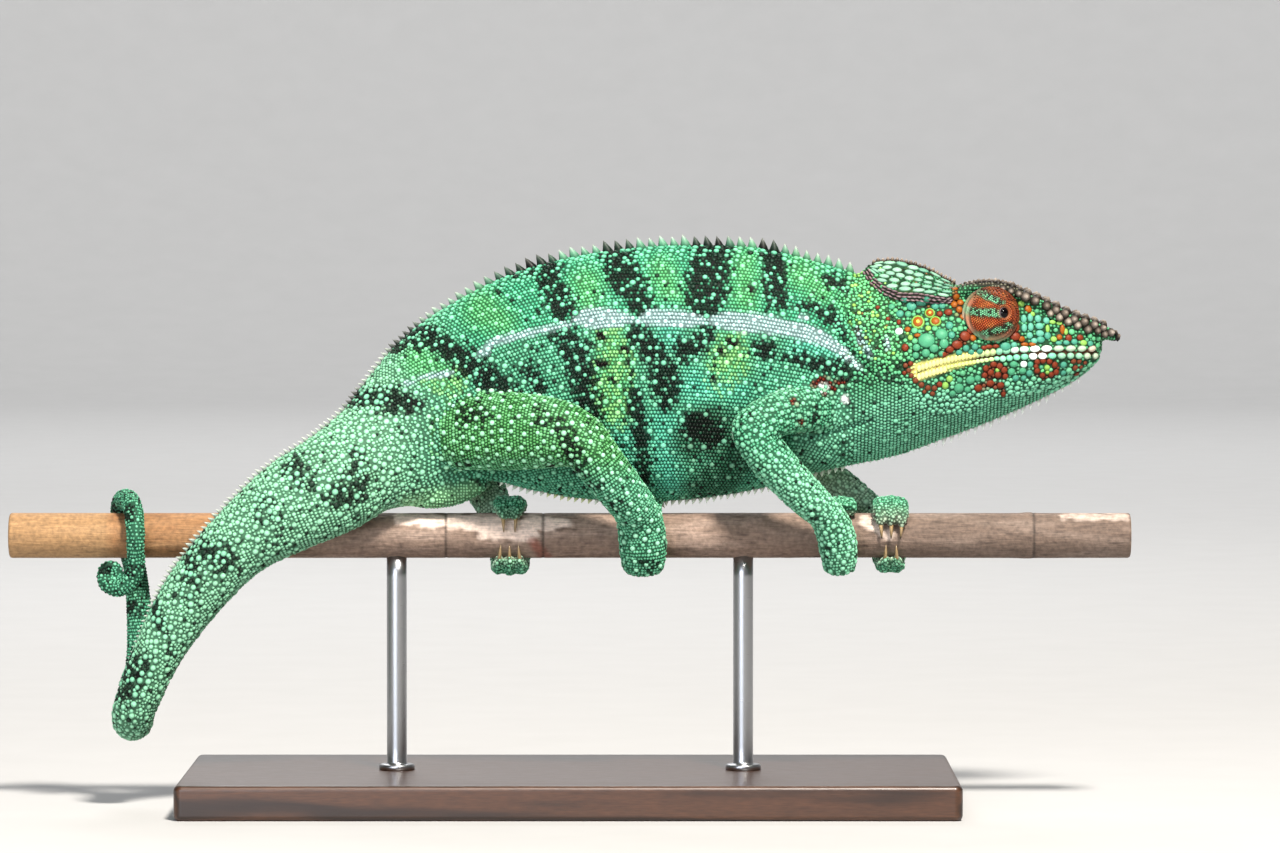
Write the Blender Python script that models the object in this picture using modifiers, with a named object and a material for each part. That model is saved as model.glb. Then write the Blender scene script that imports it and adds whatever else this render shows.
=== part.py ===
"""Panther chameleon, life size, gripping a cut perch on a plain display stand.

Metres, +Z up. The head points along +X and the right flank faces -Y. The floor is z = 0, with the origin
below the middle of the perch. Sizes are written in millimetres and turned to metres where a mesh is made;
heights on the animal are measured from the perch's axis.
"""

import math

import bmesh
import bpy
from mathutils import Vector

MM = 0.001
GAP = 0.3  # clearance that touching solids keep

# Perch and stand
PERCH_RADIUS = 6.0
PERCH_LENGTH = 291.0
PERCH_HEIGHT = 70.0
PERCH_SIDES = 16
BASE_LENGTH = 200.0
BASE_WIDTH = 100.0
BASE_THICKNESS = 9.0
BASE_BEVEL = 1.5
ROD_RADIUS = 2.6
ROD_SPACING = 90.0
ROD_SIDES = 10

# Axial body, from the neck to the start of the tail's bend. Each rib is one cross-section:
# bottom x and z, top x and z, half width, and how far its middle stands to the left (+Y).
RIBS = [
    (72.8, 17.7, 72.8, 69.0, 10.6, 0.0),
    (63.7, 15.9, 63.7, 71.5, 12.4, 0.0),
    (49.4, 12.0, 49.9, 74.8, 14.4, 0.0),
    (33.8, 9.4, 34.3, 75.6, 15.4, 0.0),
    (18.2, 8.6, 18.2, 75.1, 15.4, 0.0),
    (2.6, 9.4, 1.3, 72.7, 15.0, 0.0),
    (-10.4, 11.7, -15.6, 68.0, 14.4, 0.0),
    (-20.8, 14.0, -32.5, 59.3, 13.2, -0.2),
    (-29.9, 11.2, -44.2, 50.7, 12.4, -1.2),
    (-37.7, 8.2, -52.5, 40.8, 11.6, -3.6),
    (-46.5, 7.0, -59.0, 32.5, 10.6, -7.6),
    (-55.9, 1.8, -67.6, 25.5, 9.4, -12.4),
    (-67.6, -2.9, -77.7, 18.7, 8.5, -14.6),
    (-79.3, -8.6, -87.9, 9.1, 7.7, -14.8),
    (-88.7, -17.4, -97.2, -1.3, 7.0, -14.2),
    (-96.5, -26.8, -105.0, -12.2, 6.4, -13.0),
    (-102.2, -35.6, -112.3, -27.3, 6.0, -11.6),
    (-105.8, -43.4, -116.7, -37.7, 5.7, -10.4),
]
STATIONS_PER_RIB = 2
TRUNK_PINCH = 1.18  # above 1 the section narrows towards a keel along the back and the belly
TRUNK_SAG = 0.10  # the trunk is this share wider low down than high up
AXIAL_SIDES = 16

# Tail past its lowest bend: up behind the perch, over it and down its near side. x, y, z, radius.
TAIL_RISE = [
    (-112.9, -8.2, -45.4, 5.7),
    (-113.4, -3.8, -48.0, 5.4),
    (-113.3, 1.0, -46.4, 5.0),
    (-112.6, 3.9, -40.6, 4.5),
    (-111.9, 4.7, -32.0, 4.0),
    (-112.1, 5.2, -23.0, 3.7),
    (-112.8, 6.6, -15.0, 3.4),
    (-114.0, 8.9, -7.6, 3.2),
    (-115.9, 9.7, -1.0, 3.1),
    (-117.2, 8.2, 5.0, 3.0),
    (-116.5, 3.9, 8.7, 2.95),
    (-114.6, -1.6, 9.4, 2.9),
    (-113.0, -6.4, 7.0, 2.85),
    (-112.2, -9.1, 2.0, 2.75),
    (-112.2, -9.3, -2.4, 2.65),
]
# The tail's tip closes in a flat spiral under the perch.
CURL_CENTRE = (-118.0, -10.2)
CURL_START_RADIUS = 5.2
CURL_END_RADIUS = 1.3
CURL_START_ANGLE = 45.0
CURL_SWEEP = 330.0
CURL_START_Y = -8.4
CURL_END_Y = -5.6
CURL_TUBE_RADII = (2.5, 0.9)
CURL_STATIONS = 10
TAIL_SIDES = 10

# Spines of the back's crest, on the trunk and the tail's base
SPINE_PITCH = 3.3
SPINE_LENGTH = 2.7
SPINE_LENGTH_AT_TAIL = 1.6
SPINE_ROOT = 1.25  # half the length of a spine's foot along the back
SPINE_SINK = 1.2

# Head. Each line runs along the head: x, distance from the midline, height.
HEAD_BACK = RIBS[0][0]
NOSE = 137.2
CROWN = [(72.8, 0, 68.8), (84, 0, 67.0), (98, 0, 62.6), (108.7, 0, 62.4), (117, 0, 60.4), (127, 0, 55.8),
         (134, 0, 52.4), (137.2, 0, 51.0)]
BROW = [(72.8, 5.4, 62.0), (84, 8.0, 60.6), (98, 8.6, 60.8), (108.7, 8.0, 62.0), (117, 7.2, 60.0),
        (127, 5.8, 55.6), (134, 4.2, 52.8), (137.2, 2.4, 51.4)]
TEMPLE = [(72.8, 8.8, 56.0), (84, 9.6, 57.6), (98, 10.2, 57.8), (108.7, 9.6, 57.0), (117, 8.2, 56.8),
          (127, 6.6, 54.2), (134, 5.0, 52.2), (137.2, 2.8, 51.0)]
CHEEK = [(72.8, 10.8, 47.0), (84, 13.4, 49.0), (96, 13.8, 50.5), (108.7, 11.0, 51.0), (118, 9.0, 51.2),
         (127, 7.2, 51.0), (134, 5.4, 50.0), (137.2, 3.0, 49.6)]
LIP = [(72.8, 10.9, 40.0), (84, 13.6, 41.0), (96, 13.2, 44.4), (108.7, 11.0, 46.7), (118, 9.4, 47.6),
       (127, 7.6, 47.8), (134, 5.6, 47.7), (137.2, 3.0, 47.6)]
JAW = [(72.8, 10.2, 33.0), (84, 12.0, 34.0), (96, 11.2, 35.8), (108.7, 9.2, 38.0), (118, 7.6, 39.8),
       (127, 6.0, 42.0), (134, 4.2, 44.4), (137.2, 2.2, 46.2)]
GULAR = [(72.8, 6.6, 24.0), (84, 7.0, 25.6), (96, 6.4, 29.0), (108.7, 5.2, 32.6), (118, 4.2, 35.8),
         (127, 3.2, 39.4), (134, 2.2, 43.0), (137.2, 1.2, 45.6)]
KEEL = [(72.8, 0, 17.7), (84, 0, 20.2), (96, 0, 24.4), (108.7, 0, 29.2), (118, 0, 33.2), (127, 0, 37.6),
        (134, 0, 42.2), (137.2, 0, 45.4)]
HEAD_LINES = [CROWN, BROW, TEMPLE, CHEEK, LIP, JAW, GULAR, KEEL]
HEAD_STATIONS = 12
JAW_CORNER = 88.8
MOUTH_END = 150.0

# Casque: a roof with a sharp rim, from its peak over the nape to the eyes. x, crown z, rim y, rim z.
CASQUE = [
    (76.2, 70.6, 1.8, 68.4),
    (79.2, 71.6, 4.8, 65.4),
    (83.0, 71.8, 7.6, 63.4),
    (88.0, 71.1, 9.2, 62.6),
    (93.0, 69.5, 9.9, 62.4),
    (97.6, 67.0, 9.9, 62.8),
    (101.0, 65.4, 8.6, 63.6),
]
CASQUE_DEPTH = 3.4
CASQUE_RIM = 1.1

# Crest along the brows and the snout, which runs out as a scoop past the nose: x, brow y, brow z, trough z.
SNOUT_CREST = [
    (101.5, 8.6, 65.0, 63.6),
    (108.7, 9.2, 65.9, 63.8),
    (115.5, 8.7, 64.4, 61.9),
    (121.0, 7.9, 62.1, 59.6),
    (127.0, 6.7, 59.4, 56.6),
    (132.5, 5.6, 57.0, 53.8),
    (137.0, 4.5, 55.8, 52.4),
    (140.4, 3.2, 54.2, 51.6),
    (142.0, 1.6, 52.6, 51.2),
]
SNOUT_CREST_DEPTH = 3.0
SCOOP_DEPTH = 2.2
CREST_STATIONS = 9

# Eyes
TURRET_CENTRE = (108.7, 8.4, 57.5)
TURRET_RADII = (7.7, 6.3, 7.6)
GAZE = Vector((0.53, 0.84, 0.10)).normalized()
EYEBALL_RADIUS = 1.7
EYEBALL_STANDOUT = 0.35
TURRET_SEGMENTS = 14
TURRET_RINGS = 8
EYE_SEGMENTS = 10
EYE_RINGS = 6

# Limbs, from the body outwards: x, y, z, half thickness along the body, half thickness across it.
RIGHT_THIGH = [(-36.4, -5.0, 27.0, 9.4, 6.0), (-27.0, -10.2, 27.4, 10.2, 7.2), (-14.0, -15.6, 27.6, 10.2, 7.4),
               (-3.0, -19.6, 27.2, 9.0, 7.2), (3.2, -21.2, 25.4, 7.4, 6.6)]
RIGHT_SHANK = [(3.6, -21.2, 25.4, 6.8, 6.4), (8.0, -20.8, 19.4, 6.5, 6.2), (12.8, -19.0, 13.2, 6.2, 6.0),
               (16.8, -16.4, 8.0, 6.0, 5.6)]
RIGHT_FOOT = [(17.6, -15.0, 6.6, 6.0, 5.0), (18.6, -12.8, 2.0, 6.4, 4.8), (19.0, -11.4, -3.2, 6.4, 4.2),
              (19.0, -9.8, -7.4, 5.8, 3.2)]
LEFT_THIGH = [(-36.0, 5.6, 25.4, 9.0, 6.0), (-31.0, 12.6, 23.6, 8.4, 6.6), (-26.6, 19.6, 20.4, 7.4, 6.6),
              (-24.0, 24.4, 17.2, 6.4, 6.0)]
LEFT_SHANK = [(-24.0, 24.4, 16.8, 5.9, 5.8), (-23.0, 21.8, 12.4, 5.6, 5.4), (-21.0, 17.6, 8.8, 5.3, 5.0)]
LEFT_FOOT = [(-20.2, 15.4, 7.0, 5.2, 4.6), (-18.0, 12.8, 2.4, 5.8, 4.4), (-16.2, 11.2, -2.8, 6.0, 4.0),
             (-15.6, 9.8, -7.0, 5.6, 3.2)]
RIGHT_UPPER_ARM = [(66.0, -7.6, 33.6, 6.0, 5.0), (59.0, -13.0, 33.2, 5.9, 5.4), (51.6, -17.2, 31.2, 5.8, 5.4),
                   (46.8, -19.2, 28.2, 5.6, 5.3)]
RIGHT_FOREARM = [(46.8, -19.2, 27.6, 5.6, 5.3), (51.6, -19.2, 20.8, 5.7, 5.4), (58.4, -17.8, 13.4, 5.4, 5.2),
                 (64.4, -15.6, 7.6, 4.9, 4.8)]
RIGHT_HAND = [(66.2, -14.4, 6.0, 4.9, 4.5), (68.4, -12.6, 1.8, 5.2, 4.4), (69.4, -11.2, -3.0, 5.2, 4.0),
              (69.8, -9.8, -7.2, 4.7, 3.1)]
LEFT_UPPER_ARM = [(66.0, 7.4, 30.4, 5.8, 5.0), (61.6, 13.0, 27.6, 5.4, 5.2), (57.6, 18.0, 24.2, 5.1, 5.0)]
LEFT_FOREARM = [(57.4, 18.2, 23.6, 5.0, 4.9), (63.6, 18.4, 18.4, 4.7, 4.6), (70.4, 17.2, 12.8, 4.4, 4.3),
                (76.0, 15.4, 8.6, 4.2, 4.1)]
LEFT_HAND = [(77.6, 14.6, 7.2, 4.3, 4.0), (80.4, 12.8, 3.4, 5.0, 4.2), (82.6, 11.2, -2.0, 5.2, 4.0),
             (83.2, 9.8, -6.4, 4.6, 3.1)]
LIMBS = {
    "right_hind": (("thigh_right", RIGHT_THIGH), ("shank_right", RIGHT_SHANK), ("foot_right", RIGHT_FOOT)),
    "left_hind": (("thigh_left", LEFT_THIGH), ("shank_left", LEFT_SHANK), ("foot_left", LEFT_FOOT)),
    "right_fore": (
        ("upper_arm_right", RIGHT_UPPER_ARM), ("forearm_right", RIGHT_FOREARM), ("hand_right", RIGHT_HAND),
    ),
    "left_fore": (
        ("upper_arm_left", LEFT_UPPER_ARM), ("forearm_left", LEFT_FOREARM), ("hand_left", LEFT_HAND),
    ),
}
LIMB_SIDES = 10
LIMB_STEPS = 2

# Toes. Each foot closes round the perch in two mittens of toes, which are grown together up to their claws.
# Its place, the count of its toes, half widths and thicknesses at root and tip, and the angles at which it
# starts and ends, above the side of the perch that the foot is on.
TOES = {
    "foot_right": (("upper", 2, 5.4, 4.4, 4.6, 4.0, 50, 148), ("lower", 3, 5.6, 5.0, 5.4, 4.2, -44, -140)),
    "foot_left": (("upper", 2, 4.8, 4.2, 5.2, 4.2, 50, 138), ("lower", 3, 5.4, 5.0, 5.2, 4.4, -44, -128)),
    "hand_right": (("upper", 3, 4.8, 4.8, 5.0, 4.0, 50, 150), ("lower", 2, 4.4, 3.8, 4.8, 3.8, -44, -138)),
    "hand_left": (("upper", 3, 4.6, 5.2, 5.0, 4.2, 44, 152), ("lower", 2, 4.4, 3.8, 4.6, 3.8, -44, -130)),
}
TOE_LOBE = 0.16
MITTEN_SIDES = 12
MITTEN_STEPS = 3
CLAW_LENGTH = 3.0
CLAW_ROOT = 0.7
CLAW_SIDES = 4
CLAW_SINK = 1.0

SKIN = (0.10, 0.52, 0.33, 1.0)
CREST_GREY = (0.32, 0.28, 0.25, 1.0)
EYELID = (0.55, 0.20, 0.07, 1.0)
PUPIL = (0.02, 0.015, 0.01, 1.0)
BARK = (0.34, 0.24, 0.17, 1.0)
WALNUT = (0.16, 0.09, 0.05, 1.0)
STEEL = (0.55, 0.56, 0.58, 1.0)


def clear_scene():
    for obj in list(bpy.data.objects):
        bpy.data.objects.remove(obj, do_unlink=True)


def collection(name, hidden=False):
    made = bpy.data.collections.new(name)
    bpy.context.scene.collection.children.link(made)
    made.hide_render = hidden
    return made


def finish(name, colour, roughness, metallic=0.0):
    """A material of one colour."""
    material = bpy.data.materials.new(name)
    material.use_nodes = True
    shader = material.node_tree.nodes["Principled BSDF"]
    shader.inputs["Base Color"].default_value = colour
    shader.inputs["Roughness"].default_value = roughness
    shader.inputs["Metallic"].default_value = metallic
    return material


def take_out(obj):
    """Unlinks a new primitive from the collection that the operator put it in."""
    for holder in list(obj.users_collection):
        holder.objects.unlink(obj)
    return obj


def place(x, y, z):
    """A point on the animal, whose heights start at the perch's axis, as metres above the floor."""
    return Vector((x, y, z + PERCH_HEIGHT)) * MM


def smooth_through(knots, steps):
    """Rows on a smooth curve through the rows of `knots`, with `steps` rows for each stretch."""
    rows = []
    last = len(knots) - 1
    for i in range(last):
        before, start, end, after = (knots[max(0, min(last, i + k))] for k in (-1, 0, 1, 2))
        for step in range(steps):
            t = step / steps
            rows.append(tuple(
                0.5 * (2 * b + (c - a) * t + (2 * a - 5 * b + 4 * c - d) * t**2 + (3 * b - a - 3 * c + d) * t**3)
                for a, b, c, d in zip(before, start, end, after)
            ))
    rows.append(tuple(knots[-1]))
    return rows


def on_line(line, x):
    """The values of a line of knots at x: a smooth curve whose slope at a knot is that of its neighbours."""
    last = len(line) - 1
    i = max(0, min(last - 1, sum(knot[0] <= x for knot in line) - 1))

    def slope(k, column):
        a, b = line[max(0, k - 1)], line[min(last, k + 1)]
        return (b[column] - a[column]) / (b[0] - a[0])

    (x0, *start), (x1, *end) = line[i], line[i + 1]
    width = x1 - x0
    t = (x - x0) / width
    found = []
    for column, (a, b) in enumerate(zip(start, end), start=1):
        rise = (3 * t**2 - 2 * t**3) * (b - a)
        leave = (t**3 - 2 * t**2 + t) * width * slope(i, column)
        arrive = (t**3 - t**2) * width * slope(i + 1, column)
        found.append(a + rise + leave + arrive)
    return found


def object_of(name, shape):
    """An object made from a bmesh, with its faces turned outwards."""
    bmesh.ops.recalc_face_normals(shape, faces=shape.faces)
    mesh = bpy.data.meshes.new(name)
    shape.to_mesh(mesh)
    shape.free()
    return bpy.data.objects.new(name, mesh)


def solid_from_rings(name, rings, start_pole=None, end_pole=None):
    """A closed mesh over rings of points in metres. An end closes at its pole, or flat where it has none."""
    shape = bmesh.new()
    loops = [[shape.verts.new(point) for point in ring] for ring in rings]
    count = len(loops[0])
    for here, there in zip(loops, loops[1:]):
        for i in range(count):
            j = (i + 1) % count
            shape.faces.new((here[i], here[j], there[j], there[i]))
    for loop, pole in ((loops[0][::-1], start_pole), (loops[-1], end_pole)):
        if pole is None:
            shape.faces.new(loop)
            continue
        tip = shape.verts.new(pole)
        for i in range(count):
            shape.faces.new((loop[i], loop[(i + 1) % count], tip))
    return object_of(name, shape)


def as_part(obj, group, material):
    group.objects.link(obj)
    if not obj.data.materials:
        obj.data.materials.append(material)
    obj.data.shade_smooth()
    return obj


def as_cutter(obj, group):
    group.objects.link(obj)
    obj.hide_render = True
    obj.display_type = "WIRE"
    return obj


def boolean(obj, other, operation="DIFFERENCE"):
    change = obj.modifiers.new(f"{operation.lower()} {other.name}", "BOOLEAN")
    change.operation = operation
    change.solver = "EXACT"
    change.object = other


class Station:
    """One cross-section of a bent body: its middle, the ways up and across, and its half sizes."""

    def __init__(self, middle, up, across, half_height, half_width, pinch=1.0, sag=0.0):
        self.middle = middle
        self.up = up
        self.across = across
        self.half_height = half_height
        self.half_width = half_width
        self.pinch = pinch
        self.sag = sag

    def along(self):
        return self.across.cross(self.up).normalized()

    def ring(self, sides, grow=0.0, shift=0.0, shrink=1.0):
        """Its outline in metres, grown outwards and shifted along the body by millimetres."""
        points = []
        for i in range(sides):
            angle = 2 * math.pi * i / sides
            rise, reach = math.cos(angle), math.sin(angle)
            reach = math.copysign(abs(reach) ** self.pinch, reach) * (1 - self.sag * rise)
            point = (
                self.middle
                + self.along() * shift
                + self.up * rise * (self.half_height + grow) * shrink
                + self.across * reach * (self.half_width + grow) * shrink
            )
            points.append(place(*point))
        return points


def rib_stations():
    """Sections of the neck, the trunk and the tail as far as its bend."""
    rows = []
    for low_x, low_z, top_x, top_z, half_width, y in RIBS:
        rows.append((
            (low_x + top_x) / 2, y, (low_z + top_z) / 2, (top_x - low_x) / 2, (top_z - low_z) / 2, half_width,
        ))
    rows = smooth_through(rows, STATIONS_PER_RIB)
    stations = []
    tail_start = 9 * STATIONS_PER_RIB
    for i, (x, y, z, up_x, up_z, half_width) in enumerate(rows):
        before, after = rows[max(0, i - 1)], rows[min(len(rows) - 1, i + 1)]
        along = Vector(after[:3]) - Vector(before[:3])
        if i == 0:
            along = Vector((-1, 0, 0))
        up = Vector((up_x, 0, up_z))
        across = up.cross(along).normalized()
        tailness = min(1.0, max(0.0, (i - tail_start / 2) / (tail_start / 2)))
        pinch = TRUNK_PINCH + (1.0 - TRUNK_PINCH) * tailness
        sag = TRUNK_SAG * (1 - tailness)
        stations.append(Station(
            Vector((x, y, z)), up.normalized(), across, up.length, half_width, pinch, sag,
        ))
    return stations


def curl_points():
    """The spiral at the tail's tip, turning down, back and up as seen from the right flank."""
    points = []
    for i in range(CURL_STATIONS):
        t = i / (CURL_STATIONS - 1)
        angle = math.radians(CURL_START_ANGLE - CURL_SWEEP * t)
        radius = CURL_START_RADIUS + (CURL_END_RADIUS - CURL_START_RADIUS) * t
        tube = CURL_TUBE_RADII[0] + (CURL_TUBE_RADII[1] - CURL_TUBE_RADII[0]) * t
        points.append((
            CURL_CENTRE[0] + radius * math.cos(angle),
            CURL_START_Y + (CURL_END_Y - CURL_START_Y) * min(1.0, 2 * t),
            CURL_CENTRE[1] + radius * math.sin(angle),
            tube,
        ))
    return points


def tail_stations(first):
    """Sections of the tail from its bend to its tip, turned as little as possible from one to the next."""
    rise = smooth_through([(*first.middle, first.half_width), *TAIL_RISE, curl_points()[0]], 2)
    rows = rise[1:-1] + curl_points()
    stations = []
    up = first.up.copy()
    for i, (x, y, z, radius) in enumerate(rows):
        before = rows[i - 1][:3] if i else tuple(first.middle)
        after = rows[min(len(rows) - 1, i + 1)][:3]
        along = (Vector(after) - Vector(before)).normalized()
        up = (up - along * up.dot(along)).normalized()
        stations.append(Station(Vector((x, y, z)), up, up.cross(along), radius, radius))
    return stations


def axial_solid(name, stations, sides, start_gap=True, tip=False):
    """One length of the body, held back from its neighbours by half the gap at each end."""
    half = GAP / 2
    rings = [stations[0].ring(sides, shift=half if start_gap else 0.0)]
    rings += [station.ring(sides) for station in stations[1:-1]]
    end = stations[-1]
    if not tip:
        return solid_from_rings(name, rings + [end.ring(sides, shift=-half)])
    for turn in (0, 45):
        lean = math.radians(turn)
        rings.append(end.ring(sides, shift=end.half_width * math.sin(lean), shrink=math.cos(lean)))
    pole = place(*(end.middle + end.along() * end.half_width))
    return solid_from_rings(name, rings, end_pole=pole)


def limb_stations(knots):
    rows = smooth_through(knots, LIMB_STEPS)
    stations = []
    for i, (x, y, z, thick, wide) in enumerate(rows):
        before, after = rows[max(0, i - 1)], rows[min(len(rows) - 1, i + 1)]
        along = (Vector(after[:3]) - Vector(before[:3])).normalized()
        outwards = Vector((0, math.copysign(1, knots[0][1]), 0))
        across = (outwards - along * outwards.dot(along)).normalized()
        stations.append(Station(Vector((x, y, z)), along.cross(across), across, thick, wide))
    return stations


def limb(name, knots, grow=0.0):
    """A length of leg, flat where it starts and rounded where it ends."""
    stations = limb_stations(knots)
    last = stations[-1]
    depth = min(last.half_height, last.half_width) + grow
    rings = [stations[0].ring(LIMB_SIDES, grow, shift=-grow)]
    rings += [station.ring(LIMB_SIDES, grow) for station in stations[1:]]
    lean = math.radians(50)
    rings.append(last.ring(LIMB_SIDES, grow, depth * math.sin(lean), math.cos(lean)))
    return solid_from_rings(name, rings, end_pole=place(*(last.middle + last.along() * depth)))


def ball(name, middle, radii, segments, ring_count, grow=0.0):
    bpy.ops.mesh.primitive_uv_sphere_add(segments=segments, ring_count=ring_count, radius=MM)
    made = bpy.context.active_object
    made.name = name
    made.location = place(*middle)
    made.scale = [radius + grow for radius in radii]
    bpy.ops.object.transform_apply(location=False, rotation=False, scale=True)
    return take_out(made)


def cylinder(name, radius, length, sides, middle, lying=False):
    """`middle` is in millimetres above the floor."""
    turn = (0, math.pi / 2, 0) if lying else (0, 0, 0)
    bpy.ops.mesh.primitive_cylinder_add(
        vertices=sides, radius=radius * MM, depth=length * MM, location=Vector(middle) * MM, rotation=turn,
    )
    made = bpy.context.active_object
    made.name = name
    return take_out(made)


def head_ring(x):
    half = [(y, z) for y, z in (on_line(line, x) for line in HEAD_LINES)]
    right = [place(x, -y, z) for y, z in half]
    left = [place(x, y, z) for y, z in half[-2:0:-1]]
    return right + left


def head_solid(name):
    """Head and throat in one, from the neck to the nose, before the jaw is parted off."""
    start, end = HEAD_BACK + GAP / 2, NOSE
    rings = []
    for i in range(HEAD_STATIONS):
        t = i / (HEAD_STATIONS - 1)
        rings.append(head_ring(start + (end - start) * (1 - (1 - t) ** 1.25)))
    nose_tip = place(NOSE + 0.9, 0, on_line(LIP, NOSE)[1] + 0.6)
    return solid_from_rings(name, rings, end_pole=nose_tip)


def casque_solid(name, grow=0.0):
    rings = []
    stations = CASQUE
    for x, crown_z, rim_y, rim_z in stations:
        low = rim_z - CASQUE_DEPTH - grow
        half = [
            (0, crown_z + grow),
            (0.45 * rim_y + grow, crown_z - 0.42 * (crown_z - rim_z) + grow),
            (rim_y + grow, rim_z + 0.5 + grow),
            (rim_y + 0.4 + grow, rim_z - CASQUE_RIM - grow),
            (0.6 * rim_y + grow, low),
            (0, low),
        ]
        right = [place(x, -y, z) for y, z in half]
        left = [place(x, y, z) for y, z in half[-2:0:-1]]
        rings.append(right + left)
    first, last = stations[0], stations[-1]
    back = place(first[0] - 1.2 - grow, 0, first[1] - 1.6)
    front = place(last[0] + 0.4 + grow, 0, last[3] - 1.0)
    return solid_from_rings(name, rings, back, front)


def snout_crest_solid(name, grow=0.0):
    """Two brow ridges joined across a shallow trough, running out in a scoop."""
    rings = []
    first_x, last_x = SNOUT_CREST[0][0], SNOUT_CREST[-1][0]
    for i in range(CREST_STATIONS):
        x = first_x + (last_x - first_x) * i / (CREST_STATIONS - 1)
        brow_y, brow_z, trough_z = on_line(SNOUT_CREST, x)
        out = min(1.0, max(0.0, (x - 130.0) / (NOSE - 130.0)))
        depth = SNOUT_CREST_DEPTH + (SCOOP_DEPTH - SNOUT_CREST_DEPTH) * out
        low = min(brow_z - depth, trough_z - 1.2) - grow
        half = [
            (0, trough_z + grow),
            (0.55 * brow_y + grow, trough_z + 0.45 * (brow_z - trough_z) + grow),
            (0.88 * brow_y + grow, brow_z + grow),
            (brow_y + 0.5 + grow, brow_z - 1.0),
            (0.86 * brow_y + grow, low),
            (0, low),
        ]
        right = [place(x, -y, z) for y, z in half]
        left = [place(x, y, z) for y, z in half[-2:0:-1]]
        rings.append(right + left)
    back = place(first_x - 0.5 - grow, 0, SNOUT_CREST[0][2] - 2.6)
    front = place(last_x + 0.5 + grow, 0, SNOUT_CREST[-1][2] - 1.2)
    return solid_from_rings(name, rings, back, front)


def below_mouth(name, offset):
    """A prism across the head that takes in all below the mouth's line, moved down and forward by `offset`."""
    reach = 40.0
    outline = [(JAW_CORNER + offset, -20.0), (JAW_CORNER + offset, on_line(LIP, JAW_CORNER)[1] - offset)]
    for i in range(1, 9):
        x = JAW_CORNER + (NOSE - JAW_CORNER) * i / 8
        outline.append((x, on_line(LIP, x)[1] - offset))
    outline += [(MOUTH_END, on_line(LIP, NOSE)[1] - offset), (MOUTH_END, -20.0)]
    rings = [[place(x, side * reach, z) for x, z in outline] for side in (-1, 1)]
    return solid_from_rings(name, rings)


def spines(name, stations, first, last):
    """Spines along the back from one station to another, as loose cones that go a little way into it."""
    shape = bmesh.new()
    path = [station.middle + station.up * station.half_height for station in stations]
    travelled = 0.0
    whole = sum((b - a).length for a, b in zip(path[first:last], path[first + 1:last + 1]))
    count = int(whole / SPINE_PITCH)
    pitch = whole / count
    due = pitch / 2
    for i in range(first, last):
        a, b = path[i], path[i + 1]
        step = (b - a).length
        while due <= travelled + step:
            t = (due - travelled) / step
            root = a.lerp(b, t)
            up = stations[i].up.lerp(stations[i + 1].up, t).normalized()
            along = (a - b).normalized()
            across = up.cross(along)
            length = SPINE_LENGTH + (SPINE_LENGTH_AT_TAIL - SPINE_LENGTH) * min(1.0, max(0.0, -root.x / 60))
            foot = root - up * SPINE_SINK
            size = SPINE_ROOT * (0.75 + 0.25 * length / SPINE_LENGTH)
            ring = []
            for fore, side in ((1, 1), (1, -1), (-1, -1), (-1, 1)):
                corner = foot + (along * fore + across * side * 0.55) * size
                ring.append(shape.verts.new(place(*corner)))
            tip = shape.verts.new(place(*(root + up * length - along * 0.25)))
            shape.faces.new(ring)
            for k in range(4):
                shape.faces.new((ring[k], ring[(k + 1) % 4], tip))
            due += pitch
        travelled += step
    return object_of(name, shape)


def mitten(name, side, x, shape, grow=0.0):
    """Toes grown together and bent round the perch, flat inside and with a lobe for each toe outside."""
    _, toes, half_root, half_tip, thick_root, thick_tip, start, end = shape
    sign = math.copysign(1, end)
    rings = []
    for i in range(MITTEN_STEPS + 2):
        t = min(1.0, i / MITTEN_STEPS)
        lean = math.radians((0, 52)[max(0, i - MITTEN_STEPS)])
        half = half_root + (half_tip - half_root) * t + grow
        thick = (thick_root + (thick_tip - thick_root) * t + grow) / 2
        orbit = PERCH_RADIUS + GAP + thick
        turn = math.radians(start + (end - start) * t) + sign * thick * math.sin(lean) / orbit
        out = Vector((0, side * math.cos(turn), math.sin(turn)))
        middle = Vector((x, 0, 0)) + out * orbit
        ring = []
        for k in range(MITTEN_SIDES):
            spin = 2 * math.pi * k / MITTEN_SIDES
            reach = math.cos(spin)
            rise = math.copysign(abs(math.sin(spin)) ** 0.7, math.sin(spin))
            if rise > 0:
                rise *= 1 - TOE_LOBE * t * (1 + math.cos(math.pi * (toes * reach + toes % 2)))
            half_here = half - thick * 0.5 * (1 - math.cos(lean))
            point = middle + Vector((reach * half_here, 0, 0)) + out * rise * thick * math.cos(lean)
            ring.append(place(*point))
        rings.append(ring)
    return solid_from_rings(name, rings)


def claw(name, side, x, shape):
    """A hooked cone that follows the perch's surface from a toe's tip."""
    thick, end = shape[5] / 2, shape[7]
    sign = math.copysign(1, end)
    orbit = PERCH_RADIUS + GAP + thick
    start = math.radians(end) + sign * (thick * 0.9 - CLAW_SINK) / orbit
    sweep = sign * (CLAW_LENGTH + CLAW_SINK) / (PERCH_RADIUS + 1)

    def at(t, level):
        turn = start + sweep * t
        out = Vector((0, side * math.cos(turn), math.sin(turn)))
        return Vector((x, 0, 0)) + out * (PERCH_RADIUS + GAP + level), out

    rings = []
    for t, level, size in ((0.0, 1.5, CLAW_ROOT), (0.55, 1.35, CLAW_ROOT * 0.6)):
        middle, out = at(t, level)
        ring = []
        for k in range(CLAW_SIDES):
            spin = 2 * math.pi * k / CLAW_SIDES
            ring.append(place(*(middle + (Vector((math.cos(spin), 0, 0)) + out * math.sin(spin)) * size)))
        rings.append(ring)
    return solid_from_rings(name, rings, end_pole=place(*at(1.0, 0.3)[0]))


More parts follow.
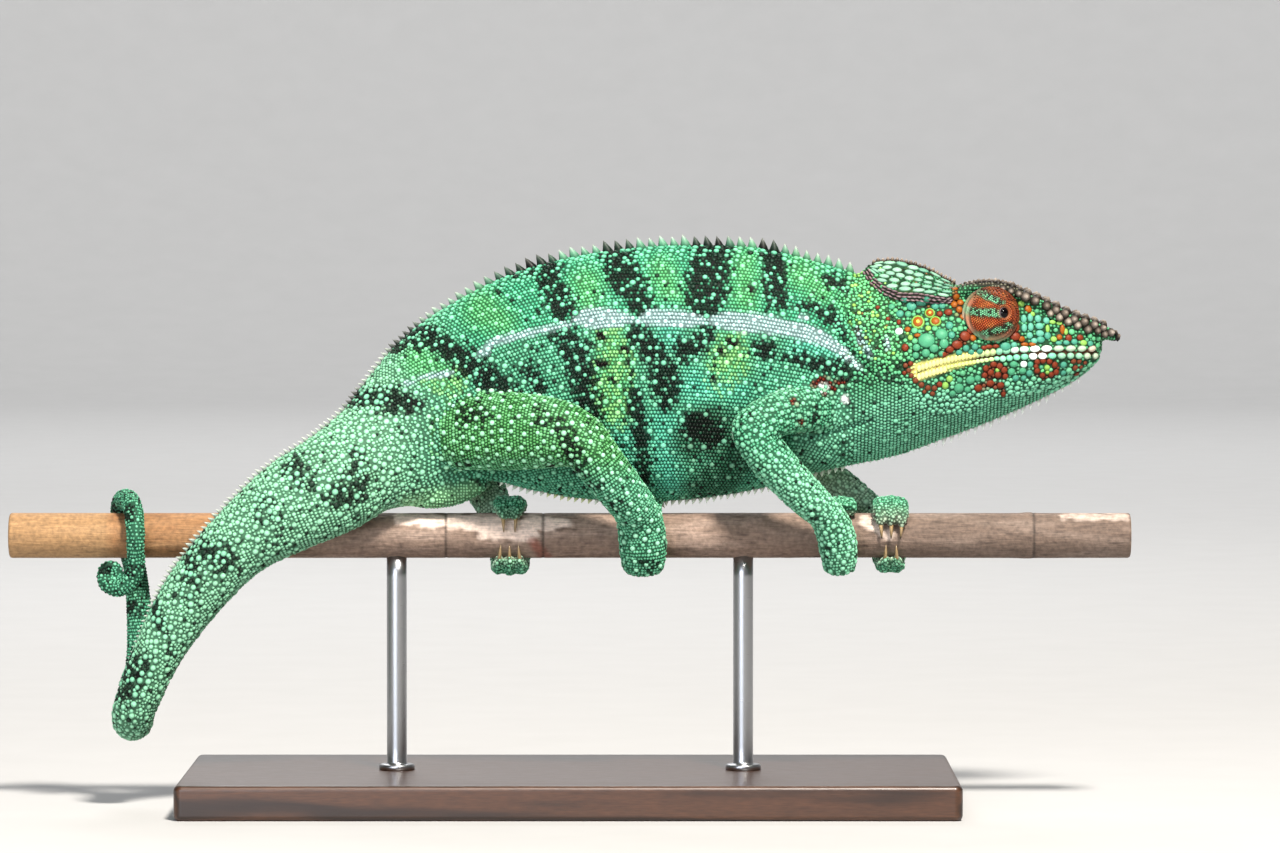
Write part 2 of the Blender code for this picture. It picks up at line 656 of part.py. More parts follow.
def toe_mitten(foot, side, x, shape, groups, material):
    """One mitten with its claws, as one solid."""
    body, cutters = groups
    level, toes, _, half_tip = shape[:4]
    made = as_part(mitten(f"toes_{level}_{foot}", side, x, shape), body, material)
    for i in range(toes):
        x_claw = x + half_tip * (2 * (i + 0.5) / toes - 1) * 0.9
        piece = claw(f"claw_{i}_{level}_{foot}", side, x_claw, shape)
        boolean(made, as_cutter(piece, cutters), "UNION")
    return made


def build_stand(body, cutters):
    bark = finish("bark", BARK, 0.85)
    wood = finish("stained_wood", WALNUT, 0.45)
    steel = finish("brushed_steel", STEEL, 0.35, 1.0)

    middle = (0, 0, PERCH_HEIGHT)
    perch = cylinder("perch", PERCH_RADIUS, PERCH_LENGTH, PERCH_SIDES, middle, lying=True)
    as_part(perch, body, bark)

    bpy.ops.mesh.primitive_cube_add(size=MM, location=(0, 0, BASE_THICKNESS / 2 * MM))
    base = bpy.context.active_object
    base.name = "stand_base"
    base.scale = (BASE_LENGTH, BASE_WIDTH, BASE_THICKNESS)
    bpy.ops.object.transform_apply(location=False, rotation=False, scale=True)
    as_part(take_out(base), body, wood)
    rounding = base.modifiers.new("rounded edges", "BEVEL")
    rounding.width = BASE_BEVEL * MM
    rounding.segments = 2

    saddle = as_cutter(cylinder("saddle", PERCH_RADIUS + GAP, PERCH_LENGTH, PERCH_SIDES, middle, True), cutters)
    foot = BASE_THICKNESS + GAP
    for name, sign in (("stand_rod_back", -1), ("stand_rod_front", 1)):
        half_way = (sign * ROD_SPACING / 2, 0, (foot + PERCH_HEIGHT) / 2)
        rod = cylinder(name, ROD_RADIUS, PERCH_HEIGHT - foot, ROD_SIDES, half_way)
        as_part(rod, body, steel)
        boolean(rod, saddle)
    return saddle


def build_axis(body, cutters, skin, saddle):
    """Neck, trunk and tail, as lengths of one bent body."""
    ribs = rib_stations()
    tail = tail_stations(ribs[-1])
    stations = ribs + tail
    per_rib = STATIONS_PER_RIB
    bend = len(ribs) - 1
    cuts = {
        "neck": (0, per_rib),
        "trunk": (per_rib, 8 * per_rib),
        "tail_base": (8 * per_rib, 11 * per_rib),
        "tail_middle": (11 * per_rib, 14 * per_rib),
        "tail_lower": (14 * per_rib, bend),
        "tail_bend": (bend, bend + 8),
        "tail_rise": (bend + 8, bend + 17),
        "tail_hook": (bend + 17, bend + 30),
        "tail_tip": (bend + 30, len(stations) - 1),
    }
    parts = {}
    for name, (start, end) in cuts.items():
        sides = AXIAL_SIDES if end <= 11 * per_rib else TAIL_SIDES
        solid = axial_solid(name, stations[start:end + 1], sides, tip=name == "tail_tip")
        parts[name] = as_part(solid, body, skin)
    for name in ("neck", "trunk", "tail_base"):
        crest = spines(f"{name}_spines", stations, *cuts[name])
        boolean(parts[name], as_cutter(crest, cutters), "UNION")
    for name in ("tail_base", "tail_middle", "tail_hook", "tail_tip"):
        boolean(parts[name], saddle)
    return parts


def build_head(body, cutters, skin):
    grey = finish("crest_tubercles", CREST_GREY, 0.6)
    lid = finish("eyelid", EYELID, 0.55)
    pupil = finish("pupil", PUPIL, 0.1)

    head = as_part(head_solid("head"), body, skin)
    jaw = as_part(head_solid("lower_jaw"), body, skin)
    boolean(head, as_cutter(below_mouth("jaw_space", 0.0), cutters))
    boolean(jaw, as_cutter(below_mouth("jaw_limit", GAP), cutters), "INTERSECT")

    casque = as_part(casque_solid("casque"), body, skin)
    casque_space = as_cutter(casque_solid("casque_space", GAP), cutters)
    boolean(head, casque_space)
    crest = as_part(snout_crest_solid("snout_crest"), body, grey)
    crest_space = as_cutter(snout_crest_solid("crest_space", GAP), cutters)
    boolean(head, crest_space)
    boolean(casque, crest_space)

    x, y, z = TURRET_CENTRE
    for side, name in ((-1, "right"), (1, "left")):
        middle = (x, side * y, z)
        dome = (middle, TURRET_RADII, TURRET_SEGMENTS, TURRET_RINGS)
        turret = as_part(ball(f"eye_turret_{name}", *dome), body, lid)
        socket = as_cutter(ball(f"socket_{name}", *dome, GAP), cutters)
        boolean(head, socket)
        boolean(crest, socket)
        gaze = Vector((GAZE.x, side * GAZE.y, GAZE.z))
        reach = 1 / math.sqrt(sum((g / r) ** 2 for g, r in zip(gaze, TURRET_RADII)))
        pupil_at = Vector(middle) + gaze * (reach + EYEBALL_STANDOUT - EYEBALL_RADIUS)
        eyeball = (pupil_at, [EYEBALL_RADIUS] * 3, EYE_SEGMENTS, EYE_RINGS)
        as_part(ball(f"eye_{name}", *eyeball), body, pupil)
        boolean(turret, as_cutter(ball(f"eye_space_{name}", *eyeball, GAP), cutters))
    return {"head": head, "lower_jaw": jaw}


def build_limbs(body, cutters, skin, saddle, axis, head):
    trunk_side = {"hind": ("trunk", "tail_base"), "fore": ("trunk", "neck")}
    for limb_name, (upper, middle, last) in LIMBS.items():
        parts = [as_part(limb(name, knots), body, skin) for name, knots in (upper, middle, last)]
        spaces = [
            as_cutter(limb(f"{name}_space", knots, GAP), cutters) for name, knots in (upper, middle, last)
        ]
        for name in trunk_side[limb_name.split("_")[1]]:
            boolean(axis[name], spaces[0])
        boolean(axis["trunk"], spaces[1])
        if "fore" in limb_name:
            boolean(head["head"], spaces[0])
        boolean(parts[1], spaces[0])
        boolean(parts[2], spaces[1])
        boolean(parts[2], saddle)
        side = -1 if "right" in limb_name else 1
        x = last[1][-1][0]
        for shape in TOES[last[0]]:
            toes = toe_mitten(last[0], side, x, shape, (body, cutters), skin)
            boolean(toes, spaces[2])
            if limb_name == "right_hind" and shape[0] == "upper":
                room = as_cutter(mitten("room_for_toes", side, x, shape, GAP), cutters)
                boolean(axis["trunk"], room)
            if shape[0] == "upper":
                boolean(toes, spaces[1])


def main():
    clear_scene()
    body = collection("panther_chameleon")
    cutters = collection("cutters")
    skin = finish("scaly_skin", SKIN, 0.55)
    saddle = build_stand(body, cutters)
    axis = build_axis(body, cutters, skin, saddle)
    head = build_head(body, cutters, skin)
    build_limbs(body, cutters, skin, saddle, axis, head)


main()
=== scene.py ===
"""Panther chameleon, life size, on a cut perch: skin, scales, eyes, crest, claws, perch, stand and stage.

Laid out as a Blender add-on and run as a script. Lengths in the tables are millimetres, and heights on the
animal start at the perch's axis. The head points along +X and the right flank faces -Y.
"""

import math
import random
from functools import lru_cache

import bmesh
import bpy
import numpy as np
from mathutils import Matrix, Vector, noise
from mathutils.bvhtree import BVHTree
from mathutils.kdtree import KDTree


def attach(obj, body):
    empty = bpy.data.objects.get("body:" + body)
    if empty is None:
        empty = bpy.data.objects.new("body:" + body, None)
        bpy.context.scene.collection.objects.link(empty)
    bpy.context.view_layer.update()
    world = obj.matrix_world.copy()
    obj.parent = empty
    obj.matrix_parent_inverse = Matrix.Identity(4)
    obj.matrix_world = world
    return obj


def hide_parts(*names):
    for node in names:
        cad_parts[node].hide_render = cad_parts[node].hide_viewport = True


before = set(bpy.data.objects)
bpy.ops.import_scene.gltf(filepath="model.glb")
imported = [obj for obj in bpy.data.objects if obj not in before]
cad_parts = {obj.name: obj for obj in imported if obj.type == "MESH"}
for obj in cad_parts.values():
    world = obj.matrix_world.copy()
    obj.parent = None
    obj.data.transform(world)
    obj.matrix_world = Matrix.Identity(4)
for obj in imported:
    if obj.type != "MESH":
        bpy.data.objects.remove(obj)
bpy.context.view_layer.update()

bl_info = {
    "name": "Panther chameleon",
    "version": (1, 0, 0),
    "blender": (4, 5, 0),
    "location": "View3D > Sidebar > Chameleon",
    "description": "Builds the skin, scales, eyes, claws, perch and stand of a life-size panther chameleon",
    "category": "Object",
}

MM = 0.001
SEED = 7
SKIN_DEPTH = 0.4  # the skin lies this far inside the solids, and the scales fill the rest
VOXEL = 0.78
RIB_STEPS = 8  # cross-sections made for each stretch between two ribs
HIP_RIB = 9

# Perch and stand
PERCH_RADIUS = 6.0
PERCH_LENGTH = 291.0
PERCH_HEIGHT = 70.0
BASE_LENGTH = 200.0
BASE_WIDTH = 100.0
BASE_THICKNESS = 9.0
ROD_RADIUS = 2.6
ROD_SPACING = 90.0
GAP = 0.3

# Axial body, from the neck to the start of the tail's bend. Each rib is one cross-section:
# bottom x and z, top x and z, half width, and how far its middle stands to the left (+Y).
RIBS = [
    (72.8, 17.7, 72.8, 69, 10.6, 0), (63.7, 15.9, 63.7, 71.5, 12.4, 0), (49.4, 12, 49.9, 74.8, 14.4, 0),
    (33.8, 9.4, 34.3, 75.6, 15.4, 0), (18.2, 8.6, 18.2, 75.1, 15.4, 0), (2.6, 9.4, 1.3, 72.7, 15, 0),
    (-10.4, 11.7, -15.6, 68, 14.4, 0), (-20.8, 14, -32.5, 59.3, 13.2, -0.2), (-29.9, 11.2, -44.2, 50.7, 12.4, -1.2),
    (-37.7, 8.2, -52.5, 40.8, 11.6, -3.6), (-46.5, 7, -59, 32.5, 10.6, -7.6), (-55.9, 1.8, -67.6, 25.5, 9.4, -12.4),
    (-67.6, -2.9, -77.7, 18.7, 8.5, -14.6), (-79.3, -8.6, -87.9, 9.1, 7.7, -14.8),
    (-88.7, -17.4, -97.2, -1.3, 7, -14.2), (-96.5, -26.8, -105, -12.2, 6.4, -13),
    (-102.2, -35.6, -112.3, -27.3, 6, -11.6), (-105.8, -43.4, -116.7, -37.7, 5.7, -10.4),
]
TRUNK_PINCH = 1.18  # above 1 the section narrows towards a keel along the back and the belly
TRUNK_SAG = 0.10  # the trunk is this share wider low down than high up

# Tail past its lowest bend: up behind the perch, over it and down its near side. x, y, z, radius.
TAIL_RISE = [
    (-112.9, -8.2, -45.4, 5.7), (-113.4, -3.8, -48, 5.4), (-113.3, 1, -46.4, 5), (-112.6, 3.9, -40.6, 4.5),
    (-111.9, 4.7, -32, 4), (-112.1, 5.2, -23, 3.7), (-112.8, 6.6, -15, 3.4), (-114, 8.9, -7.6, 3.2),
    (-115.9, 9.7, -1, 3.1), (-117.2, 8.2, 5, 3), (-116.5, 3.9, 8.7, 2.95), (-114.6, -1.6, 9.4, 2.9),
    (-113, -6.4, 7, 2.85), (-112.2, -9.1, 2, 2.75), (-112.2, -9.3, -2.4, 2.65),
]
# The tail's tip closes in a flat spiral under the perch.
CURL_CENTRE = (-118.2, -9.9)
# Its winding: angle, distance from the centre, half thickness
CURL_WINDING = [
    (37, 7.6, 2.6), (6, 5.6, 2.6), (-36, 4.5, 2.5), (-90, 3.5, 2.3), (-170, 2.6, 2.1), (-246, 2.5, 1.9),
    (-300, 2, 1.6), (-360, 1.6, 1.4), (-430, 1, 1.3),
]
CURL_START_Y = -8.4
CURL_END_Y = -5.6

# Head. Each line runs along the head: x, distance from the midline, height.
HEAD_BACK = RIBS[0][0]
NOSE = 137.2
CROWN = [
    (72.8, 0, 68.8), (84, 0, 67), (98, 0, 62.6), (108.7, 0, 62.4), (117, 0, 60.4), (127, 0, 55.8), (134, 0, 52.4),
    (137.2, 0, 51),
]
BROW = [
    (72.8, 5.4, 62), (84, 8, 60.6), (98, 8.6, 60.8), (108.7, 8, 62), (117, 7.2, 60), (127, 5.8, 55.6),
    (134, 4.2, 52.8), (137.2, 2.4, 51.4),
]
TEMPLE = [
    (72.8, 8.8, 56), (84, 9.6, 57.6), (98, 10.2, 57.8), (108.7, 9.6, 57), (117, 8.2, 56.8), (127, 6.6, 54.2),
    (134, 5, 52.2), (137.2, 2.8, 51),
]
CHEEK = [
    (72.8, 10.8, 47), (84, 13.4, 49), (96, 13.8, 50.5), (108.7, 11, 51), (118, 9, 51.2), (127, 7.2, 51),
    (134, 5.4, 50), (137.2, 3, 49.6),
]
LIP = [
    (72.8, 10.9, 40), (84, 13.6, 41), (96, 13.2, 44.4), (108.7, 11, 46.7), (118, 9.4, 47.6), (127, 7.6, 47.8),
    (134, 5.6, 47.7), (137.2, 3, 47.6),
]
JAW = [
    (72.8, 10.2, 33), (84, 12, 34), (96, 11.2, 35.8), (108.7, 9.2, 38), (118, 7.6, 39.8), (127, 6, 42),
    (134, 4.2, 44.4), (137.2, 2.2, 46.2),
]
GULAR = [
    (72.8, 6.6, 24), (84, 7, 25.6), (96, 6.4, 29), (108.7, 5.2, 32.6), (118, 4.2, 35.8), (127, 3.2, 39.4),
    (134, 2.2, 43), (137.2, 1.2, 45.6),
]
KEEL = [
    (72.8, 0, 17.7), (84, 0, 20.2), (96, 0, 24.4), (108.7, 0, 29.2), (118, 0, 33.2), (127, 0, 37.6), (134, 0, 42.2),
    (137.2, 0, 45.4),
]
HEAD_LINES = [CROWN, BROW, TEMPLE, CHEEK, LIP, JAW, GULAR, KEEL]
JAW_CORNER = 88.8

# Casque: a roof with a sharp rim, from its peak over the nape to the eyes. x, crown z, rim y, rim z.
CASQUE = [
    (76.2, 70.6, 1.8, 68.4), (79.2, 71.6, 4.8, 65.4), (83, 71.8, 7.6, 63.4), (88, 71.1, 9.2, 62.6),
    (93, 69.5, 9.9, 62.4), (97.6, 67, 9.9, 62.8), (101, 65.4, 8.6, 63.6),
]
CASQUE_DEPTH = 3.4
CASQUE_RIM = 1.1

# Crest along the brows and the snout, which runs out as a scoop past the nose: x, brow y, brow z, trough z.
SNOUT_CREST = [
    (101.5, 8.6, 65, 63.6), (108.7, 9.2, 65.9, 63.8), (115.5, 8.7, 64.4, 61.9), (121, 7.9, 62.1, 59.6),
    (127, 6.7, 59.4, 56.6), (132.5, 5.6, 57, 53.8), (137, 4.5, 55.8, 52.4), (140.4, 3.2, 54.2, 51.6),
    (142, 1.6, 52.6, 51.2),
]
SNOUT_CREST_DEPTH = 3.0
SCOOP_DEPTH = 2.2
SCOOP_START = 130.0

# Eyes
TURRET_CENTRE = (108.7, 8.4, 57.5)
TURRET_RADII = (7.7, 6.3, 7.6)
GAZE = Vector((0.53, 0.84, 0.10)).normalized()
EYEBALL_RADIUS = 1.7
EYEBALL_STANDOUT = 0.35

# Limbs, from the body outwards: x, y, z, half thickness along the body, half thickness across it.
RIGHT_THIGH = [
    (-36.4, -5, 27, 9.4, 6), (-27, -10.2, 27.4, 10.2, 7.2), (-14, -15.6, 27.6, 10.2, 7.4), (-3, -19.6, 27.2, 9, 7.2),
    (3.2, -21.2, 25.4, 7.4, 6.6),
]
RIGHT_SHANK = [
    (3.6, -21.2, 25.4, 6.8, 6.4), (8, -20.8, 19.4, 6.5, 6.2), (12.8, -19, 13.2, 6.2, 6), (16.8, -16.4, 8, 6, 5.6),
]
RIGHT_FOOT = [
    (17.6, -15, 6.6, 6, 5), (18.6, -12.8, 2, 6.4, 4.8), (19, -11.4, -3.2, 6.4, 4.2), (19, -9.8, -7.4, 5.8, 3.2),
]
LEFT_THIGH = [
    (-36, 5.6, 25.4, 9, 6), (-31, 12.6, 23.6, 8.4, 6.6), (-26.6, 19.6, 20.4, 7.4, 6.6), (-24, 24.4, 17.2, 6.4, 6),
]
LEFT_SHANK = [(-24, 24.4, 16.8, 5.9, 5.8), (-23, 21.8, 12.4, 5.6, 5.4), (-21, 17.6, 8.8, 5.3, 5)]
LEFT_FOOT = [
    (-20.2, 15.4, 7, 5.2, 4.6), (-18, 12.8, 2.4, 5.8, 4.4), (-16.2, 11.2, -2.8, 6, 4), (-15.6, 9.8, -7, 5.6, 3.2),
]
RIGHT_UPPER_ARM = [
    (66, -7.6, 33.6, 6, 5), (59, -13, 33.2, 5.9, 5.4), (51.6, -17.2, 31.2, 5.8, 5.4), (46.8, -19.2, 28.2, 5.6, 5.3),
]
RIGHT_FOREARM = [
    (46.8, -19.2, 27.6, 5.6, 5.3), (51.6, -19.2, 20.8, 5.7, 5.4), (58.4, -17.8, 13.4, 5.4, 5.2),
    (64.4, -15.6, 7.6, 4.9, 4.8),
]
RIGHT_HAND = [
    (66.2, -14.4, 6, 4.9, 4.5), (68.4, -12.6, 1.8, 5.2, 4.4), (69.4, -11.2, -3, 5.2, 4), (69.8, -9.8, -7.2, 4.7, 3.1),
]
LEFT_UPPER_ARM = [(66, 7.4, 30.4, 5.8, 5), (61.6, 13, 27.6, 5.4, 5.2), (57.6, 18, 24.2, 5.1, 5)]
LEFT_FOREARM = [
    (57.4, 18.2, 23.6, 5, 4.9), (63.6, 18.4, 18.4, 4.7, 4.6), (70.4, 17.2, 12.8, 4.4, 4.3), (76, 15.4, 8.6, 4.2, 4.1),
]
LEFT_HAND = [
    (77.6, 14.6, 7.2, 4.3, 4), (80.4, 12.8, 3.4, 5, 4.2), (82.6, 11.2, -2, 5.2, 4), (83.2, 9.8, -6.4, 4.6, 3.1),
]
LIMBS = {
    "leg_right": ("foot_right", (RIGHT_THIGH, RIGHT_SHANK, RIGHT_FOOT)),
    "leg_left": ("foot_left", (LEFT_THIGH, LEFT_SHANK, LEFT_FOOT)),
    "arm_right": ("hand_right", (RIGHT_UPPER_ARM, RIGHT_FOREARM, RIGHT_HAND)),
    "arm_left": ("hand_left", (LEFT_UPPER_ARM, LEFT_FOREARM, LEFT_HAND)),
}

# Toes. Each foot closes round the perch in two mittens of toes, which are grown together up to their claws.
# Its place, the count of its toes, half widths and thicknesses at root and tip, and the angles at which it
# starts and ends, above the side of the perch that the foot is on.
TOES = {
    "foot_right": (("upper", 2, 5.4, 4.4, 4.6, 4.0, 50, 148), ("lower", 3, 5.6, 5.0, 5.4, 4.2, -44, -140)),
    "foot_left": (("upper", 2, 4.8, 4.2, 5.2, 4.2, 50, 138), ("lower", 3, 5.4, 5.0, 5.2, 4.4, -44, -128)),
    "hand_right": (("upper", 3, 4.8, 4.8, 5.0, 4.0, 50, 150), ("lower", 2, 4.4, 3.8, 4.8, 3.8, -44, -138)),
    "hand_left": (("upper", 3, 4.6, 5.2, 5.0, 4.2, 44, 152), ("lower", 2, 4.4, 3.8, 4.6, 3.8, -44, -130)),
}
CLAW_LENGTH = 2.3
CLAW_SINK = 1.0

# Markings, as strokes seen from the side: x, height and half width at each knot. Both flanks carry them.
STRIPE = [
    [(-23.1, 47.8, 0.6), (-20.8, 49.7, 0.9), (-17.7, 51, 1.1), (-10.4, 52.8, 0.9), (-2.6, 54.6, 0.8),
     (0.3, 55.1, 0.7)],
    [(2.1, 56.2, 1.2), (5.2, 56.7, 2.6), (9.4, 56.7, 2.6), (13, 56.4, 2.1), (16.1, 56.4, 0.9)],
    [(18.2, 56.2, 1.1), (21.3, 56.9, 2.1), (26.5, 56.7, 2.4), (31.2, 56.2, 2), (34.3, 55.9, 0.9)],
    [(37.2, 56.2, 1.2), (41.1, 55.9, 2.6), (45.5, 55.6, 2.6), (50.7, 55.1, 2.4), (55.9, 54.1, 2.1), (61.4, 52.8, 2.1),
     (65.5, 51.2, 2), (69.7, 48.6, 1.3), (73.3, 45.2, 0.9), (74.9, 43.9, 0.5)],
    [(59.8, 56.9, 0.9), (60.8, 56.7, 0.7)], [(74.4, 53.8, 0.7), (75.4, 50.2, 1.2), (77.5, 47.1, 0.7)],
    [(81.6, 51.2, 0.7), (82.2, 49.1, 0.7)], [(-38.5, 41.3, 0.6), (-34.6, 41.9, 0.8), (-30.2, 42.6, 0.6)],
    [(-42.4, 39.8, 0.6), (-40, 40, 0.6)], [(-23.7, 47.1, 0.6), (-21.1, 47.8, 0.6)],
    [(-29.6, 34.1, 0.5), (-26.5, 34.6, 0.5)],
]
DARK_BANDS = [
    [(52, 75.7, 2.6), (53, 68.9, 2.9), (53.3, 63.7, 2.9), (54.1, 60.6, 2.1)],
    [(58.8, 59.5, 1), (62.9, 59.5, 1.6), (66.6, 57.7, 1.6), (69.2, 54.9, 1.3), (70.7, 52.5, 0.8)],
    [(67.1, 66.8, 1.3), (70.2, 65.3, 1.3), (71.8, 63.2, 0.8)],
    [(36.7, 78.3, 4.9), (36.4, 71, 4.7), (35.6, 65, 5.2), (34.8, 60.6, 4.7), (35.9, 56.7, 1.6)],
    [(12, 77.2, 4.4), (12.7, 71, 3.9), (15.1, 65.8, 4.4), (18.2, 61.1, 3.1), (19, 58.2, 1.8)],
    [(-20, 68.4, 2.3), (-14.3, 70.5, 3.1), (-7.8, 72, 3.4), (-4.4, 68.4, 2.6)],
    [(-6.5, 66.3, 2.1), (-3.6, 63.2, 3.4), (-2.1, 59.8, 3.6), (1.3, 58, 1.6)],
    [(-45.2, 49.4, 1.8), (-41.1, 52.3, 3.1), (-35.9, 52.3, 2.9), (-30.7, 47.6, 3.1), (-24.7, 44.5, 3.4),
     (-20.3, 40.8, 3.1), (-15.1, 37.4, 2.6)],
    [(-11.2, 43.9, 1.6), (-7.8, 38.7, 2.1)],
    [(-57.2, 36.1, 2.6), (-51.5, 36.1, 2.3), (-45.5, 35.6, 3.1), (-39.5, 34.6, 2.1)],
    [(-1, 51.2, 3.1), (2.1, 47.6, 3.6), (3.6, 40.3, 3.6), (4.7, 33.8, 3.1), (6.2, 28.6, 2.3)],
    [(17.7, 52.5, 2.9), (20.3, 49.1, 3.1), (23.9, 44.2, 3.6), (25.5, 38.2, 3.4), (24.4, 34.6, 2.1)],
    [(16.6, 37.2, 2.1), (17.4, 31.2, 2.3), (18.2, 24.7, 1.8), (19.5, 14.3, 1.3)],
    [(35.6, 52.8, 2.1), (33, 49.1, 2.3), (29.1, 48.1, 2.6)], [(31.2, 29.4, 3.1), (36.9, 27.3, 3.6)],
    [(50.2, 48.9, 2.3), (51, 48.4, 2.3)],
    [(56.7, 46.8, 1.3), (62.9, 45.2, 2.1), (69.7, 43.9, 1.8), (74.4, 42.1, 0.8)], [(71.8, 47.6, 0.8), (79, 41.9, 1)],
]
LIME_PATCHES = [
    [(4.7, 65.3, 4.2), (5.2, 59.8, 3.1)], [(23.9, 68.9, 3.4), (26, 62.4, 3.6)], [(45.5, 71, 3.4), (45.2, 61.1, 3.4)],
    [(59.8, 68.4, 4.2), (65.5, 63.2, 3.1)], [(71.8, 61.1, 2.6), (78, 56.4, 3.1)],
    [(-22.1, 58.5, 5.2), (-16.9, 55.4, 3.1)],
    [(10.9, 52, 3.6), (11.4, 45.5, 4.7), (10.9, 37.7, 4.7), (11.7, 31.2, 3.6)],
    [(41.6, 50.2, 3.6), (41.1, 45.5, 5.2), (39.5, 40.3, 3.6)], [(-39, 45.5, 4.2), (-31.2, 40.8, 4.2)],
    [(75.4, 66.3, 3.1), (80.6, 55.9, 3.6), (83.2, 48.1, 3.1)],
]
AQUA_PATCHES = [
    [(12.5, 24.7, 4.7), (13.5, 14.3, 3.6)], [(24.4, 29.9, 3.6), (25, 14.3, 3.6)],
    [(31.2, 39, 3.6), (42.9, 38.2, 3.1)], [(25.5, 58.5, 2.1), (26, 51.7, 2.6)],
    [(59.8, 49.4, 3.1), (67.6, 47.6, 2.1)],
]
# Painted shade low on the flank behind the forelegs
SHADE_PATCHES = [[(31.2, 24.7, 4.7), (36.9, 27.3, 6.8), (42.9, 20.8, 6.2), (37.7, 14.3, 5.7), (33.8, 12.2, 4.2)]]
SPECKS = [
    [(7.8, 52.3, 1), (8.8, 51.7, 1)], [(13.8, 48.6, 1), (14.8, 48.4, 0.8)], [(15.1, 45.5, 0.8), (15.3, 45, 0.8)],
    [(7.8, 45, 1), (9.1, 45, 1)], [(11.2, 41.1, 0.8), (12, 40.8, 0.8)], [(5.2, 48.9, 0.7), (5.5, 48.6, 0.7)],
    [(41.1, 50.7, 1), (42.9, 50.4, 1)], [(39, 48.4, 1), (40, 48.1, 1)], [(36.9, 41.3, 0.8), (37.2, 41.1, 0.8)],
    [(46.3, 64.2, 0.8), (47.1, 64, 0.8)],
]
RED_MARKS = [
    [(62.9, 39.5, 0.8), (65.5, 41.1, 1), (67.1, 39.8, 0.8)], [(69.2, 40, 0.8), (70.7, 40, 0.8)],
    [(73.8, 40, 1), (74.6, 39.5, 1)], [(65.8, 37.2, 0.7), (66, 36.9, 0.7)], [(68.1, 38.5, 0.8), (67.9, 38.2, 0.8)],
    [(59.5, 30.4, 0.8), (59.8, 29.9, 0.8)], [(57.5, 35.4, 0.8), (57.7, 35.1, 0.8)],
]
WHITE_DOTS = [[(65.3, 38.7, 1.2), (65.8, 38.5, 1.2)], [(71, 35.9, 1), (71.2, 35.6, 1)]]
THIGH_DARK = [[(-27, 32, 2.3), (-22.9, 32.5, 2.1)], [(-2.6, 29.9, 1.6), (0.8, 23.4, 2.3), (2.6, 17.9, 1.8)]]
TAIL_DARK = [
    [(-58, 11.2, 4.2), (-54.1, 16.9, 3.1)], [(-70.2, 19, 3.1), (-67.1, 14.8, 2.6)],
    [(-94.9, -2.6, 3.6), (-90.5, -4.4, 4.2), (-87.9, -6.5, 2.3)], [(-79.3, 9.1, 1.8), (-76.7, 6, 1.8)],
    [(-99.3, -13.8, 1.3), (-97.2, -14.8, 1.6)], [(-114, -40, 4), (-110.5, -32, 3)],
]
HEAD_RED = [
    [(95.3, 46.9, 0.7), (99.5, 49.5, 1), (103.4, 52.4, 1.2), (104.4, 54, 0.5)],
    [(107.6, 41.4, 0.9), (108.3, 43.4, 0.9), (110.4, 44.5, 0.8), (112.3, 43.6, 0.9), (112.6, 41.8, 0.8),
     (110.6, 41.6, 0.9), (108.6, 41.6, 0.7)],
    [(105.2, 38.6, 0.9), (108.6, 39.5, 0.9), (111.4, 39, 0.8), (112.2, 37, 0.5)],
    [(121, 45.1, 0.6), (123.2, 45.9, 0.6), (125.4, 44.9, 0.6), (126, 43.2, 0.6), (124.9, 41.6, 0.6),
     (122.6, 41.3, 0.6), (120.8, 42.4, 0.6), (120.4, 44, 0.6), (121, 45.1, 0.6)],
    [(114.9, 53.8, 0.9), (115.4, 51.7, 1.1), (117, 50.8, 0.6)],
]
HEAD_ORANGE = [
    [(99.6, 64, 0.6), (99.7, 61, 1.2), (100.8, 57.6, 0.9)], [(94.6, 55.8, 1), (95.6, 57.5, 0.6)],
    [(118.6, 49.8, 0.6), (119.6, 49.8, 0.6)], [(114.9, 58.2, 0.6), (115.4, 56.4, 0.6)],
]
HEAD_LIME = [[(122.2, 43.6, 0.9), (123.6, 43.4, 0.9)], [(110.2, 43.1, 0.6), (110.6, 43, 0.6)]]
